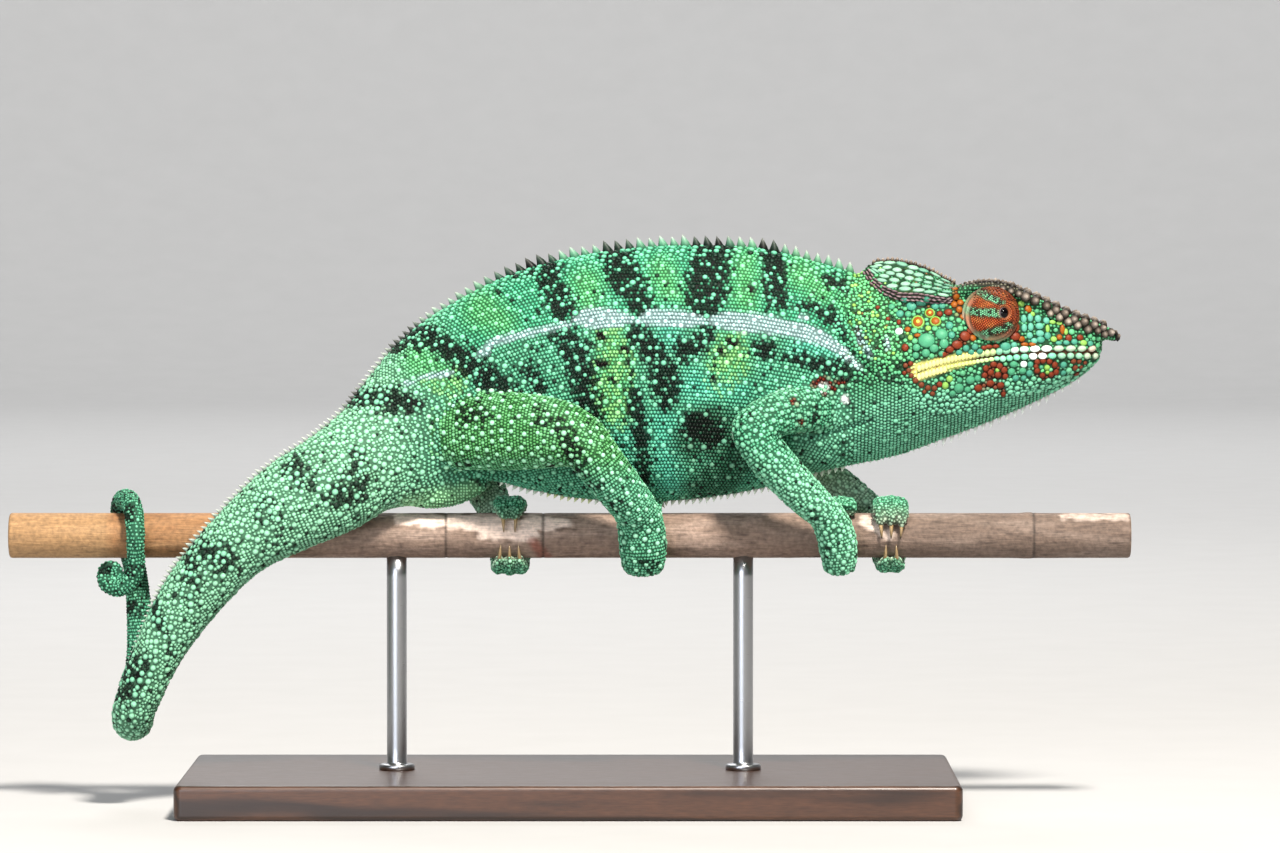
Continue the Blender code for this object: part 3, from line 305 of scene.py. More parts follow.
CHEEK_PLATES = {
    "ringed": [(89.9, 55.6, 1.4, 1.6), (93, 57.9, 1.1, 1.1)],
    "orange": [
        (94.4, 55.8, 1.2, 1.2), (99.8, 62.1, 0.8, 0.8), (100.9, 60.6, 0.8, 0.8), (99.3, 60.1, 0.8, 0.8),
        (100.6, 58.8, 0.8, 0.8), (99.6, 64, 0.7, 0.7), (101.4, 56.9, 0.7, 0.7), (89.7, 52.2, 0.8, 0.5),
        (87.2, 53.7, 0.7, 0.7), (104, 51.5, 0.8, 0.8), (115.4, 56.4, 0.7, 0.8), (116.7, 51.2, 0.8, 0.7),
        (114.9, 58.2, 0.7, 0.8), (118.5, 58.9, 0.9, 0.9), (117.5, 49.8, 0.9, 0.5), (119.5, 49.8, 0.9, 0.5),
        (127.4, 53.6, 0.6, 1.2), (126.6, 51.6, 0.7, 0.7),
    ],
    "red": [
        (95.5, 57.7, 0.7, 0.7), (86.5, 49.1, 0.8, 0.9), (97.8, 58.1, 1, 0.8), (85, 55.6, 0.5, 0.7),
        (82.2, 56.4, 0.5, 0.5), (79.6, 59.3, 0.5, 0.5), (102, 52, 1.3, 1.2), (103.4, 53.4, 0.9, 0.8),
        (99.9, 49.8, 1.3, 1), (98, 48.6, 1, 0.8), (96.3, 47.3, 0.9, 0.7), (108.2, 49.3, 0.9, 0.5),
        (110, 49.4, 0.8, 0.5), (106.9, 49, 0.7, 0.5), (115.2, 54.2, 0.9, 1.2), (115, 51.9, 1.2, 1),
        (129, 51.4, 0.8, 0.8), (132, 51.5, 0.8, 0.7), (107.4, 43.7, 0.7, 0.8), (109.4, 44.7, 0.8, 0.7),
        (111, 44.2, 0.8, 0.8), (112.2, 43.2, 0.8, 0.8), (108.7, 42.6, 0.8, 0.8), (110.6, 42, 0.8, 0.8),
        (112.5, 41.6, 0.7, 0.7), (107.1, 41.9, 0.7, 0.7), (108.6, 39.8, 1, 0.8), (105.5, 38.6, 1, 0.9),
        (111.3, 39.3, 0.9, 0.8), (112.1, 37, 0.6, 0.8), (120.8, 45.3, 0.7, 0.7), (122.3, 45.6, 0.7, 0.7),
        (124, 45.4, 0.7, 0.7), (125.4, 44.5, 0.7, 0.8), (125.8, 42.6, 0.7, 0.8), (124.5, 42, 0.7, 0.7),
        (122.2, 41.8, 0.7, 0.7), (120.8, 43, 0.7, 0.7), (120.5, 44.1, 0.6, 0.6), (95.4, 39.6, 0.7, 0.7),
        (87.9, 45, 0.6, 0.6), (86.3, 42.6, 0.5, 0.5),
    ],
    "lime": [
        (92.5, 54, 0.7, 0.7), (87.9, 51.6, 0.6, 0.7), (119.6, 57.6, 0.6, 0.6), (116.7, 60.3, 0.8, 0.8),
        (124.8, 55.5, 0.8, 0.5), (126.6, 55.2, 0.7, 0.5), (128.3, 53, 0.5, 0.8), (123.5, 53.8, 0.5, 1),
        (125.1, 51.1, 0.8, 0.7), (132.9, 50.1, 0.9, 0.7), (110.4, 43.2, 0.5, 0.5), (98, 41, 0.8, 0.8),
        (96.9, 39.3, 0.8, 0.9), (123.4, 43.8, 0.7, 0.7), (123.5, 42.6, 0.5, 0.5),
    ],
    "white": [(85, 53.2, 0.9, 0.9), (117.3, 44.7, 0.8, 0.8)],
    "green": [
        (92, 50.9, 2, 1.8), (95.9, 52.5, 1.5, 1.4), (93.9, 48.9, 1.1, 1), (91.8, 47.7, 1, 1), (96.5, 50.1, 1.1, 1.2),
        (95.9, 47.5, 0.8, 0.7), (89.4, 49.1, 0.9, 0.9), (89.2, 47.1, 0.8, 0.8), (87.4, 57.6, 0.8, 0.8),
        (83.2, 59.5, 0.8, 0.8), (100.4, 38.6, 1.2, 1.2), (103.4, 40.7, 1.1, 1), (100.6, 40.7, 0.7, 0.7),
        (102.7, 38.2, 0.8, 0.8), (105.3, 41.1, 0.8, 0.8), (98.8, 37.2, 0.8, 0.8), (121.9, 43.9, 0.5, 0.5),
        (117, 43, 0.9, 0.8), (114.7, 44.7, 1, 0.8), (114.1, 42.8, 0.9, 0.9),
    ],
    "teal": [
        (98, 54.7, 0.9, 1), (98.5, 52.3, 0.8, 0.9), (88.3, 59.7, 1.2, 1.2), (90.8, 60.5, 1.2, 1.2),
        (85.3, 57.7, 0.9, 0.9), (94.4, 59.7, 0.9, 0.9), (86.5, 61.4, 0.8, 0.8), (92.2, 61.5, 0.8, 0.7),
        (96.2, 59.8, 0.8, 0.8), (102.2, 48.9, 0.8, 0.8), (103.6, 47.9, 0.8, 0.7), (104.5, 49.3, 0.8, 0.8),
        (105.8, 48.1, 0.8, 0.7), (100.4, 47.8, 0.8, 0.7), (121.7, 51, 1, 0.8), (123.5, 52, 0.8, 0.9),
        (112.5, 49.3, 1.3, 1), (130.5, 50.4, 0.8, 0.7), (134.7, 49.9, 0.8, 0.7), (128.4, 50.2, 0.8, 0.6),
        (126.4, 50.1, 0.8, 0.5), (119, 44.6, 0.7, 0.8), (115.2, 41.1, 0.8, 0.8), (118.8, 42.4, 0.8, 0.8),
        (117.3, 41.1, 0.7, 0.7), (127.7, 44.5, 0.8, 0.8), (127.7, 42.4, 0.7, 0.7),
    ],
    "aqua": [
        (117.3, 56.4, 0.7, 1), (119, 56.7, 0.7, 1), (117.4, 54.1, 0.7, 1), (119.1, 54.3, 0.7, 1),
        (118.8, 52.1, 0.8, 0.8), (121, 56.4, 0.8, 0.9), (121.4, 54.5, 1, 0.8), (121.5, 52.6, 1, 0.8),
        (123.2, 55.9, 0.8, 0.8), (120, 50.7, 0.8, 0.7), (114.7, 49.7, 0.8, 0.7),
    ],
    "brown": [
        (130.3, 45.4, 0.7, 0.6), (131.8, 45.4, 0.6, 0.6), (130.8, 43.7, 0.7, 0.7), (132.3, 43.9, 0.5, 0.5),
        (131.3, 42.1, 0.7, 0.6), (133.4, 45, 0.5, 0.5), (86.6, 44.5, 0.6, 0.6), (87.4, 43.2, 0.6, 0.6),
        (88.1, 41.9, 0.6, 0.6), (89.2, 40.6, 0.7, 0.7), (90.7, 39.5, 0.7, 0.7), (92.4, 38.7, 0.7, 0.7),
        (94.1, 38.6, 0.7, 0.7), (93.6, 37.2, 0.6, 0.6), (91.5, 37.7, 0.5, 0.5),
    ],
}
CASQUE_UPPER = [
    (78.5, 70.5), (80.6, 71.1), (84.1, 71.4), (88.7, 70.5), (92.5, 69.3), (95.2, 67.9), (97.5, 66.6), (99.8, 65.3),
]
CASQUE_LOWER = [
    (77.6, 69.5), (79, 67), (81.8, 64.6), (85.5, 63.2), (90.2, 63.1), (94.4, 62.4), (97.5, 61.9), (98.8, 62.1),
]

# The nostril: x, height, half length, half height
NOSTRIL = (125.5, 53.0, 1.3, 0.9)

# How densely each region's rows of scales run: along it and round it, and a granule's half length, half
# width and height
REGIONS = {
    "trunk": (0.88, 0.99, 0.455, 0.50, 0.36),
    "tail": (0.96, 0.90, 0.48, 0.46, 0.34),
    "tail_end": (0.80, 0.74, 0.39, 0.37, 0.26),
    "head": (0.94, 0.92, 0.48, 0.47, 0.32),
    "arm": (0.90, 0.86, 0.45, 0.44, 0.32),
    "toes": (0.84, 0.80, 0.41, 0.40, 0.27),
    "leg": (0.88, 0.82, 0.44, 0.42, 0.30),
}
REGION_NAMES = list(REGIONS)
HEAD, FIRST_LIMB = REGION_NAMES.index("head"), REGION_NAMES.index("arm")

# Columns of the rows of scales: position, way along the body, share round it, place on the bake's map, region,
# loft and distance along the loft
POSITION, WAY, ROUND, MAP, REGION, LOFT, DISTANCE = slice(0, 3), slice(3, 6), 6, slice(7, 9), 9, 10, 11

# Larger scales in each region, from the largest: half size, spacing, share of the rows' places that try for
# one, and how much it is lightened, from 0 to 1
BUMPS = {
    "trunk": [(0.76, 3.3, 0.45, 1.0), (0.58, 1.9, 0.40, 0.5)],
    "tail": [(0.80, 1.85, 0.95, 0.8), (0.60, 1.3, 0.60, 0.5)],
    "tail_end": [(0.47, 1.5, 0.28, 0.45)],
    "head": [(0.66, 2.0, 0.06, 0.4)],
    "arm": [(0.74, 1.85, 0.85, 0.8), (0.56, 1.25, 0.55, 0.4)],
    "toes": [(0.50, 1.35, 0.55, 0.6)],
    "leg": [(0.70, 2.35, 0.90, 1.0), (0.52, 1.35, 0.25, 0.3)],
}

# Creases of the skin, pressed in on both sides: x, height and half width
CREASES = [
    [(52.5, 26.2, 0.2), (60.8, 26.4, 0.3), (70, 27.6, 0.3), (78, 30.4, 0)],
    [(69.8, 52.4, 0.1), (73.2, 47, 0.2), (77.4, 43, 0)], [(70.4, 61, 0.1), (72.7, 54.6, 0.2), (76.4, 47.6, 0)],
]
BROW_MARKS = [
    [(97.6, 66, 0.8), (101, 66.2, 1.3), (106, 66.8, 1.7), (111, 66, 1.7), (115.5, 63.6, 1.3), (119, 61.4, 0.6)],
]
MOUTH_STRIPE = [[(90, 43, 2.3), (98, 45.2, 1.9), (104, 46.6, 1.6), (108.5, 47, 1)]]
# A pale stroke along the lower edges of the bulges under the tail's root, partly their own paler skin and partly a
# painted highlight
PALE_BULGE = [[(-41.5, 8.6, 2.6), (-33, 9.8, 3.2), (-24.5, 12, 2.4)]]

# The paired bulges under the tail's root: x, y, height, half thickness, half width
BULGE = [
    (-42, 3, 10.4, 2.2, 2), (-35.5, 4.4, 10.8, 3.6, 3.2), (-28.5, 4.6, 12.2, 3.6, 3.2), (-23.6, 4, 13.6, 2.4, 2.2),
]
PATCH = 0.003  # a scale's patch on the bake's map


def linear(text):
    """A colour written as sRGB hex, in linear light."""
    channels = [int(text[i:i + 2], 16) / 255 for i in (1, 3, 5)]
    return tuple(c / 12.92 if c <= 0.04045 else ((c + 0.055) / 1.055) ** 2.4 for c in channels)


def rgb(text):
    return np.array(linear(text))


def colour(name, description, text):
    return bpy.props.FloatVectorProperty(
        name=name, description=description, subtype="COLOR", size=3, min=0, max=1, default=linear(text))


def length(name, description, millimetres):
    return bpy.props.FloatProperty(
        name=name, description=description, unit="LENGTH", min=0, precision=5, default=millimetres * MM)


class ChameleonColours(bpy.types.PropertyGroup):
    """Colours of the animal, its perch and its stand."""

    upper: colour("Upper flank", "Granules above the pale stripe", "#4EB288")
    lime: colour("Lime", "Brightest patches between the dark bands", "#66BC78")
    lower: colour("Lower flank", "Granules below the pale stripe", "#5AAA86")
    aqua: colour("Aqua", "Pale blue-green patches low on the flank", "#5CC2A6")
    # Painted shade: the deep green laid low behind the forelegs and on the upper arm next to the body
    shade: colour("Low flank", "Deep green behind the forelegs", "#205A3E")
    dark: colour("Dark bands", "Granules of the dark bands", "#021006")
    stripe: colour("Stripe", "The pale stripe along the flank", "#A9C8C6")
    tail: colour("Tail", "Granules of the tail", "#8AC4A0")
    limb: colour("Limbs", "Granules of the legs", "#56AA82")
    thigh: colour("Thighs", "Granules of the thighs", "#56A05A")
    throat: colour("Throat", "Granules of the throat and neck", "#74BC9A")
    cheek: colour("Cheek", "Granules of the head's sides", "#4C9A6A")
    mint: colour("Tubercles", "What the large scales are lightened towards", "#B9F7D3")
    yellow: colour("Mouth stripe", "The yellow stripe behind the mouth", "#E4E092")
    red: colour("Red", "Brick-red scales of the cheeks", "#72301A")
    orange: colour("Orange", "Orange scales round the eyes", "#8C4E14")
    crest: colour("Crest", "Tubercles of the snout and the casque's rims", "#766A5E")
    turret: colour("Eyelid", "Granules of the eye turrets", "#B4552C")


class ChameleonSizes(bpy.types.PropertyGroup):
    """Sizes of the small forms that this script adds to the solids."""

    voxel: length("Skin detail", "Edge of a face of the skin", VOXEL)
    spine: length("Back spines", "Length of the spines along the back", 3.0)
    spine_pitch: length("Spine spacing", "Spacing of the spines on the trunk", 2.9)
    gular: length("Throat spines", "Length of the white spines under the throat", 1.9)
    snout: length("Snout tubercles", "Breadth of the largest tubercles of the snout", 2.7)
    pupil: length("Pupil", "Breadth of the pupil", 2.5)
    claw: length("Claws", "Breadth of a claw at its root", 1.25)


def settings():
    return bpy.context.scene.chameleon_colours, bpy.context.scene.chameleon_sizes


# Curves and cross-sections, as the solids have them

def place(x, y, z):
    """A point on the animal, whose heights start at the perch's axis, as metres above the floor."""
    return Vector((x, y, z + PERCH_HEIGHT)) * MM


def between(a, b, c, d, t):
    """A point of the smooth curve through a, b, c and d, at a share t of the way from b to c."""
    return 0.5 * (2 * b + (c - a) * t + (2 * a - 5 * b + 4 * c - d) * t**2 + (3 * b - a - 3 * c + d) * t**3)


def lengths_along(points):
    """How far along a line each of its points is."""
    return np.r_[0, np.cumsum(np.linalg.norm(np.diff(points, axis=0), axis=1))]


def at_length(distance, along, points):
    """The place at a distance along a line, where `along` has the distance of each of its points."""
    return np.array([np.interp(distance, along, column) for column in points.T])


def ramp(value, start, width):
    """0 up to `start`, 1 from `width` past it on, and an even rise between them."""
    return min(1.0, max(0.0, (value - start) / width))


def smooth_through(knots, steps):
    """Rows on a smooth curve through the rows of `knots`, with `steps` rows for each stretch."""
    rows = []
    last = len(knots) - 1
    for i in range(last):
        a, b, c, d = (np.array(knots[max(0, min(last, i + k))], float) for k in (-1, 0, 1, 2))
        rows += [tuple(between(a, b, c, d, t)) for t in np.arange(steps) / steps]
    rows.append(tuple(knots[-1]))
    return rows


def on_line(line, x):
    """The values of a line of knots at x: a smooth curve whose slope at a knot is that of its neighbours."""
    last = len(line) - 1
    i = max(0, min(last - 1, sum(knot[0] <= x for knot in line) - 1))

    def slope(k, column):
        a, b = line[max(0, k - 1)], line[min(last, k + 1)]
        return (b[column] - a[column]) / (b[0] - a[0])

    (x0, *start), (x1, *end) = line[i], line[i + 1]
    width = x1 - x0
    t = (x - x0) / width
    found = []
    for column, (a, b) in enumerate(zip(start, end), start=1):
        rise = (3 * t**2 - 2 * t**3) * (b - a)
        leave = (t**3 - 2 * t**2 + t) * width * slope(i, column)
        arrive = (t**3 - t**2) * width * slope(i + 1, column)
        found.append(a + rise + leave + arrive)
    return found


class Section:
    """One cross-section of a bent body: its middle, the ways up and across, and its half sizes."""

    def __init__(self, middle, up, across, half_height, half_width, pinch=1.0, sag=0.0):
        self.middle, self.up, self.across = Vector(middle), up, across
        self.half_height, self.half_width = half_height, half_width
        self.pinch, self.sag = pinch, sag

    def along(self):
        return self.across.cross(self.up).normalized()

    def ring(self, sides, grow=0.0, shift=0.0, shrink=1.0):
        grow = max(grow, -0.3 * self.half_width)
        points = []
        for i in range(sides):
            angle = 2 * math.pi * i / sides
            rise, reach = math.cos(angle), math.sin(angle)
            reach = math.copysign(abs(reach) ** self.pinch, reach) * (1 - self.sag * rise)
            points.append(place(*(
                self.middle + self.along() * shift
                + self.up * rise * (self.half_height + grow) * shrink
                + self.across * reach * (self.half_width + grow) * shrink)))
        return points


def way_at(rows, i):
    """The way from the row before to the row after, whose first three values are a place."""
    return Vector(rows[min(len(rows) - 1, i + 1)][:3]) - Vector(rows[max(0, i - 1)][:3])


def rib_sections(steps):
    rows = [
        ((low_x + top_x) / 2, y, (low_z + top_z) / 2, (top_x - low_x) / 2, (top_z - low_z) / 2, half_width)
        for low_x, low_z, top_x, top_z, half_width, y in RIBS
    ]
    rows = smooth_through(rows, steps)
    sections = []
    for i, (x, y, z, up_x, up_z, half_width) in enumerate(rows):
        along = way_at(rows, i) if i else Vector((-1, 0, 0))
        up = Vector((up_x, 0, up_z))
        across = up.cross(along).normalized()
        tailness = ramp(i / steps, 4.5, 4.5)
        sections.append(Section(
            (x, y, z), up.normalized(), across, up.length, half_width,
            TRUNK_PINCH + (1.0 - TRUNK_PINCH) * tailness, TRUNK_SAG * (1 - tailness)))
    return sections


def curl_points(count):
    """The spiral at the tail's tip, turning down, back and up as seen from the right flank."""
    points = []
    angles, reaches, tubes = zip(*CURL_WINDING)
    for t in np.linspace(0, 1, count):
        degrees = angles[0] + (angles[-1] - angles[0]) * t
        radius, tube_radius = (np.interp(-degrees, [-angle for angle in angles], row) for row in (reaches, tubes))
        turn = math.radians(degrees)
        points.append((
            CURL_CENTRE[0] + radius * math.cos(turn),
            CURL_START_Y + (CURL_END_Y - CURL_START_Y) * min(1.0, 2 * t),
            CURL_CENTRE[1] + radius * math.sin(turn),
            tube_radius,
        ))
    return points


def tail_sections(first, steps):
    """Sections of the tail from its bend to its tip, turned as little as possible from one to the next."""
    curl = curl_points(12 * steps)
    rows = smooth_through([(*first.middle, first.half_width), *TAIL_RISE, curl[0]], steps)[1:-1] + curl
    sections = []
    up = first.up.copy()
    for i, (x, y, z, radius) in enumerate(rows):
        before = rows[i - 1][:3] if i else tuple(first.middle)
        after = rows[min(len(rows) - 1, i + 1)][:3]
        along = (Vector(after) - Vector(before)).normalized()
        up = (up - along * up.dot(along)).normalized()
        sections.append(Section((x, y, z), up, up.cross(along), radius, radius))
    return sections


def limb_sections(knots, steps):
    rows = smooth_through(knots, steps)
    sections = []
    for i, (x, y, z, thick, wide) in enumerate(rows):
        along = way_at(rows, i).normalized()
        outwards = Vector((0, math.copysign(1, knots[0][1]), 0))
        across = (outwards - along * outwards.dot(along)).normalized()
        sections.append(Section((x, y, z), along.cross(across), across, thick, wide))
    return sections


def rounded(sections, sides, grow, both=False):
    """The rings of a run of sections, with round ends."""
    rings = [section.ring(sides, grow) for section in sections]
    ends = [(sections[-1], 1, rings)]
    if both:
        ends.append((sections[0], -1, rings))
    for section, way, rings in ends:
        depth = min(section.half_height, section.half_width) + grow
        for turn in (22, 45, 66, 82):
            lean = math.radians(turn)
            ring = section.ring(sides, grow, way * depth * math.sin(lean), math.cos(lean))
            rings.insert(len(rings) if way > 0 else 0, ring)
    return rings


def closed_curve(points, steps):
    """A smooth closed curve through points."""
    count = len(points)
    made = []
    for i in range(count):
        a, b, c, d = (np.array(points[(i + k) % count]) for k in (-1, 0, 1, 2))
        made += [between(a, b, c, d, t) for t in np.arange(steps) / steps]
    return made


def mirrored_ring(x, half, grow):
    """A ring at x through (y, z) pairs of one side from top to bottom, mirrored to the other side."""
    points = [(-y, z) for y, z in half] + [(y, z) for y, z in half[-2:0:-1]]
    curve = np.array(closed_curve(points, 4))
    middle = curve.mean(axis=0)
    out = curve - middle
    reach = np.linalg.norm(out, axis=1, keepdims=True)
    curve = middle + out * np.maximum(0.3, (reach + grow) / reach)
    return [place(x, y, z) for y, z in curve]


def head_rings(grow, step, start=HEAD_BACK - 3.0):
    rings = []
    for x in np.arange(start, NOSE, step):
        half = [on_line(line, max(x, HEAD_BACK)) for line in HEAD_LINES]
        rings.append(mirrored_ring(x, half, grow))
    tip = np.array(rings[-1])
    middle = tip.mean(axis=0)
    for share, ahead in ((0.86, 0.35), (0.6, 0.7), (0.25, 0.9)):
        rings.append([Vector(p) for p in middle + (tip - middle) * share + np.array((ahead * MM, 0, 0))])
    return rings


def casque_rings(grow):
    rings = []
    for x, crown_z, rim_y, rim_z in smooth_through(CASQUE, 4):
        half = [
            (0, crown_z), (0.45 * rim_y, crown_z - 0.42 * (crown_z - rim_z)), (rim_y, rim_z + 0.5),
            (rim_y + 0.4, rim_z - CASQUE_RIM), (0.6 * rim_y, rim_z - CASQUE_DEPTH), (0, rim_z - CASQUE_DEPTH),
        ]
        rings.append(mirrored_ring(x, half, grow))
    return rings


def snout_rings(grow):
    rings = []
    for x in np.linspace(SNOUT_CREST[0][0], SNOUT_CREST[-1][0], 40):
        brow_y, brow_z, trough_z = on_line(SNOUT_CREST, x)
        out = ramp(x, SCOOP_START, NOSE - SCOOP_START)
        depth = SNOUT_CREST_DEPTH + (SCOOP_DEPTH - SNOUT_CREST_DEPTH) * out
        low = min(brow_z - depth, trough_z - 1.2)
        half = [
            (0, trough_z), (0.55 * brow_y, trough_z + 0.45 * (brow_z - trough_z)), (0.88 * brow_y, brow_z),
            (brow_y + 0.5, brow_z - 1.0), (0.86 * brow_y, low), (0, low),
        ]
        rings.append(mirrored_ring(x, half, grow))
    return rings


TOE_SPLIT = math.radians(18)  # how far the notches between toes' tips go back round the perch


def mitten_rings(side, x, shape, grow, sides=36, steps=14):
    """Toes grown together and bent round the perch, with a lobe for each toe outside."""
    _, toes, half_root, half_tip, thick_root, thick_tip, start, end = shape
    sign = math.copysign(1, end)
    turns = [(i / steps, 0) for i in range(steps + 1)] + [(1, lean) for lean in (25, 48, 66, 80)]
    rings = []
    for t, lean in turns:
        lean = math.radians(lean)
        half = half_root + (half_tip - half_root) * t + grow
        thick = (thick_root + (thick_tip - thick_root) * t) / 2 + grow
        orbit = PERCH_RADIUS + GAP - grow * 0.5 + thick
        turn = math.radians(start + (end - start) * t) + sign * thick * math.sin(lean) / orbit
        ring = []
        for k in range(sides):
            spin = 2 * math.pi * k / sides
            reach = math.cos(spin)
            groove = (1 + math.cos(math.pi * (toes * reach + toes % 2))) / 2
            rise = math.copysign(abs(math.sin(spin)) ** 0.85, math.sin(spin))
            if rise > 0:
                rise *= 1 - 0.96 * t * groove
            back = turn - sign * TOE_SPLIT * groove * max(0.0, t - 0.6) / 0.4
            out = Vector((0, side * math.cos(back), math.sin(back)))
            half_here = half - thick * 0.8 * (1 - math.cos(lean))
            ring.append(place(*(
                Vector((x + reach * half_here, 0, 0)) + out * (orbit + rise * thick * math.cos(lean)))))
        rings.append(ring)
    return rings


def side_of(name):
    return -1 if "right" in name else 1


def limb_of(foot):
    return foot.replace("foot", "leg").replace("hand", "arm")


# Lofts, rows of scales and the map that the bake uses

class Loft:
    """A bent body as closed rings of points, with lengths along it and round it, in millimetres."""

    def __init__(self, name, region, rings):
        self.name, self.region = name, region
        rings = np.array(rings, float) / MM
        self.rings = np.concatenate([rings, rings[:, :1]], axis=1)
        middles = rings.mean(axis=1)
        self.along = lengths_along(middles)
        steps = np.linalg.norm(np.diff(self.rings, axis=1), axis=2)
        self.arcs = np.concatenate([np.zeros((len(rings), 1)), np.cumsum(steps, axis=1)], axis=1)
        self.length, self.girth = self.along[-1], self.arcs[:, -1].max()
        self.corner, self.scale = (0, 0), 1

    def ring_at(self, distance):
        i = int(min(max(np.searchsorted(self.along, distance) - 1, 0), len(self.along) - 2))
        t = (distance - self.along[i]) / (self.along[i + 1] - self.along[i])
        ring = (1 - t) * self.rings[i] + t * self.rings[i + 1]
        return ring, (1 - t) * self.arcs[i] + t * self.arcs[i + 1], self.rings[i + 1] - self.rings[i]

    def sites(self, pitch_along, pitch_round, follow_stripe=False):
        """Rows of scales: position, the way along the body, share round it, and place on the bake's map."""
        found = []
        half_step = pitch_along / 2 if follow_stripe else pitch_along
        for row, distance in enumerate(np.arange(0.2, self.length, half_step)):
            ring, arcs, forward = self.ring_at(distance)
            whole = arcs[-1]
            if follow_stripe:
                half = len(arcs) // 2 + 1
                above = ring[:half, 2] - PERCH_HEIGHT - np.interp(ring[:half, 0], *zip(*STRIPE_COURSE))
                start = np.interp(0, -above, arcs[:half])
                rows = np.arange(-90, 90)
                rows = rows[rows % 2 == row % 2]
                right = start + rows * pitch_round
                right = right[(right > 0.3) & (right < whole / 2 - 0.3)]
                at = np.r_[right, whole - right]
            else:
                count = max(5, round(whole / pitch_round))
                at = (np.arange(count) + 0.5 * (row % 2)) * whole / count
            for where in at:
                found.append((
                    *at_length(where, arcs, ring), *at_length(where, arcs, forward), where / whole,
                    self.corner[0] + distance * self.scale, self.corner[1] + where * self.scale))
        return np.array(found)


# The pale stripe's course over the whole flank, which the rows of scales run beside: x and height
STRIPE_COURSE = [
    (-62, 29), (-38, 41.5), (-23, 48), (-10.4, 52.8), (0, 55), (9.4, 56.7), (26.5, 56.9), (45.5, 55.7), (61.4, 52.8),
    (69.7, 48.6), (76, 42.5),
]


def lay_out(lofts):
    """Gives each loft its own place on the bake's square: unrolled, on shelves from tall to short."""
    gap = 3.0
    width = math.sqrt(sum((loft.length + gap) * (loft.girth + gap) for loft in lofts) / 0.80)
    x, y, shelf = gap, gap, 0.0
    for loft in sorted(lofts, key=lambda loft: -loft.girth):
        if x + loft.length > width:
            x, y, shelf = gap, y + shelf + gap, 0.0
        loft.corner = (x, y)
        x, shelf = x + loft.length + gap, max(shelf, loft.girth)
    scale = 1 / max(width + gap, y + shelf + gap)
    for loft in lofts:
        loft.corner = (loft.corner[0] * scale, loft.corner[1] * scale)
        loft.scale = scale


@lru_cache
def lofts():
    """The lofts whose rows of scales cover the animal, at the size of the solids."""
    ribs = rib_sections(RIB_STEPS)
    tip = rounded(tail_sections(ribs[-1], 6), 32, 0.0)
    hip, bend_end = HIP_RIB * RIB_STEPS, 25
    made = [
        Loft("trunk", "trunk", [section.ring(96) for section in ribs[:hip + 1]]),
        Loft("tail", "tail", [section.ring(48) for section in ribs[hip:]]),
        Loft("tail_bend", "tail", tip[:bend_end + 1]),
        Loft("tail_end", "tail_end", tip[bend_end:]),
        Loft("head", "head", head_rings(0.0, 0.9, HEAD_BACK)),
    ]
    for name, (last, knots) in LIMBS.items():
        for i, part in enumerate(knots):
            made.append(Loft(f"{name}_{i}", name[:3], rounded(limb_sections(part, 6), 36, 0.0)))
        for shape in TOES[last]:
            rings = mitten_rings(side_of(name), knots[2][-1][0], shape, 0.0)
            made.append(Loft(f"{last}_{shape[0]}", "toes", rings))
    lay_out(made)
    return made


@lru_cache
def rows_of_scales():
    """Every row's sites in one array."""
    found = []
    for index, loft in enumerate(lofts()):
        sites = loft.sites(*REGIONS[loft.region][:2], loft.name == "trunk")
        same = np.ones(len(sites))
        distance = (sites[:, 7] - loft.corner[0]) / loft.scale
        found.append(np.c_[sites, same * REGION_NAMES.index(loft.region), same * index, distance])
    return np.concatenate(found)


def faced_up(rows):
    """How far each row site faces the back, or outwards on a limb."""
    turn = rows[:, ROUND] * 2 * math.pi
    return np.where(rows[:, REGION] >= FIRST_LIMB, np.sin(turn), np.cos(turn))


# Markings

def from_strokes(points, strokes):
    """How far each point (x, height) is from the edge of the nearest stroke: less than 0 inside it."""
    nearest = np.full(len(points), 1e9)
    for stroke in strokes:
        for (ax, az, ar), (bx, bz, br) in zip(stroke, stroke[1:]):
            step = np.array((bx - ax, bz - az))
            t = np.clip(((points - (ax, az)) @ step) / max(1e-9, step @ step), 0, 1)
            away = np.linalg.norm(points - (ax, az) - t[:, None] * step, axis=1)
            nearest = np.minimum(nearest, away - (ar + (br - ar) * t))
    return nearest


def strokes_cover(points, strokes, soft, wobble):
    """How far each point (x, height) lies inside any stroke, from 0 to 1."""
    return np.clip(0.5 - (from_strokes(points, strokes) + wobble) / soft, 0, 1)


def layered(base, *layers):
    """Colours with others laid over them in turn, each (a colour, its share at each point from 0 to 1)."""
    for tone, share in layers:
        share = np.asarray(share)[:, None]
        base = base * (1 - share) + (rgb(tone) if isinstance(tone, str) else tone) * share
    return base


def hashed(points, key):
    """A steady random number from 0 to 1 for each point."""
    return np.random.default_rng(SEED + key).random(len(points))


def wavering(points, size, key=0.0):
    """Smooth noise from -1 to 1 whose features are about `size` millimetres across."""
    return np.array([noise.noise(Vector(p) / size + Vector((key, 0, 0))) for p in points])


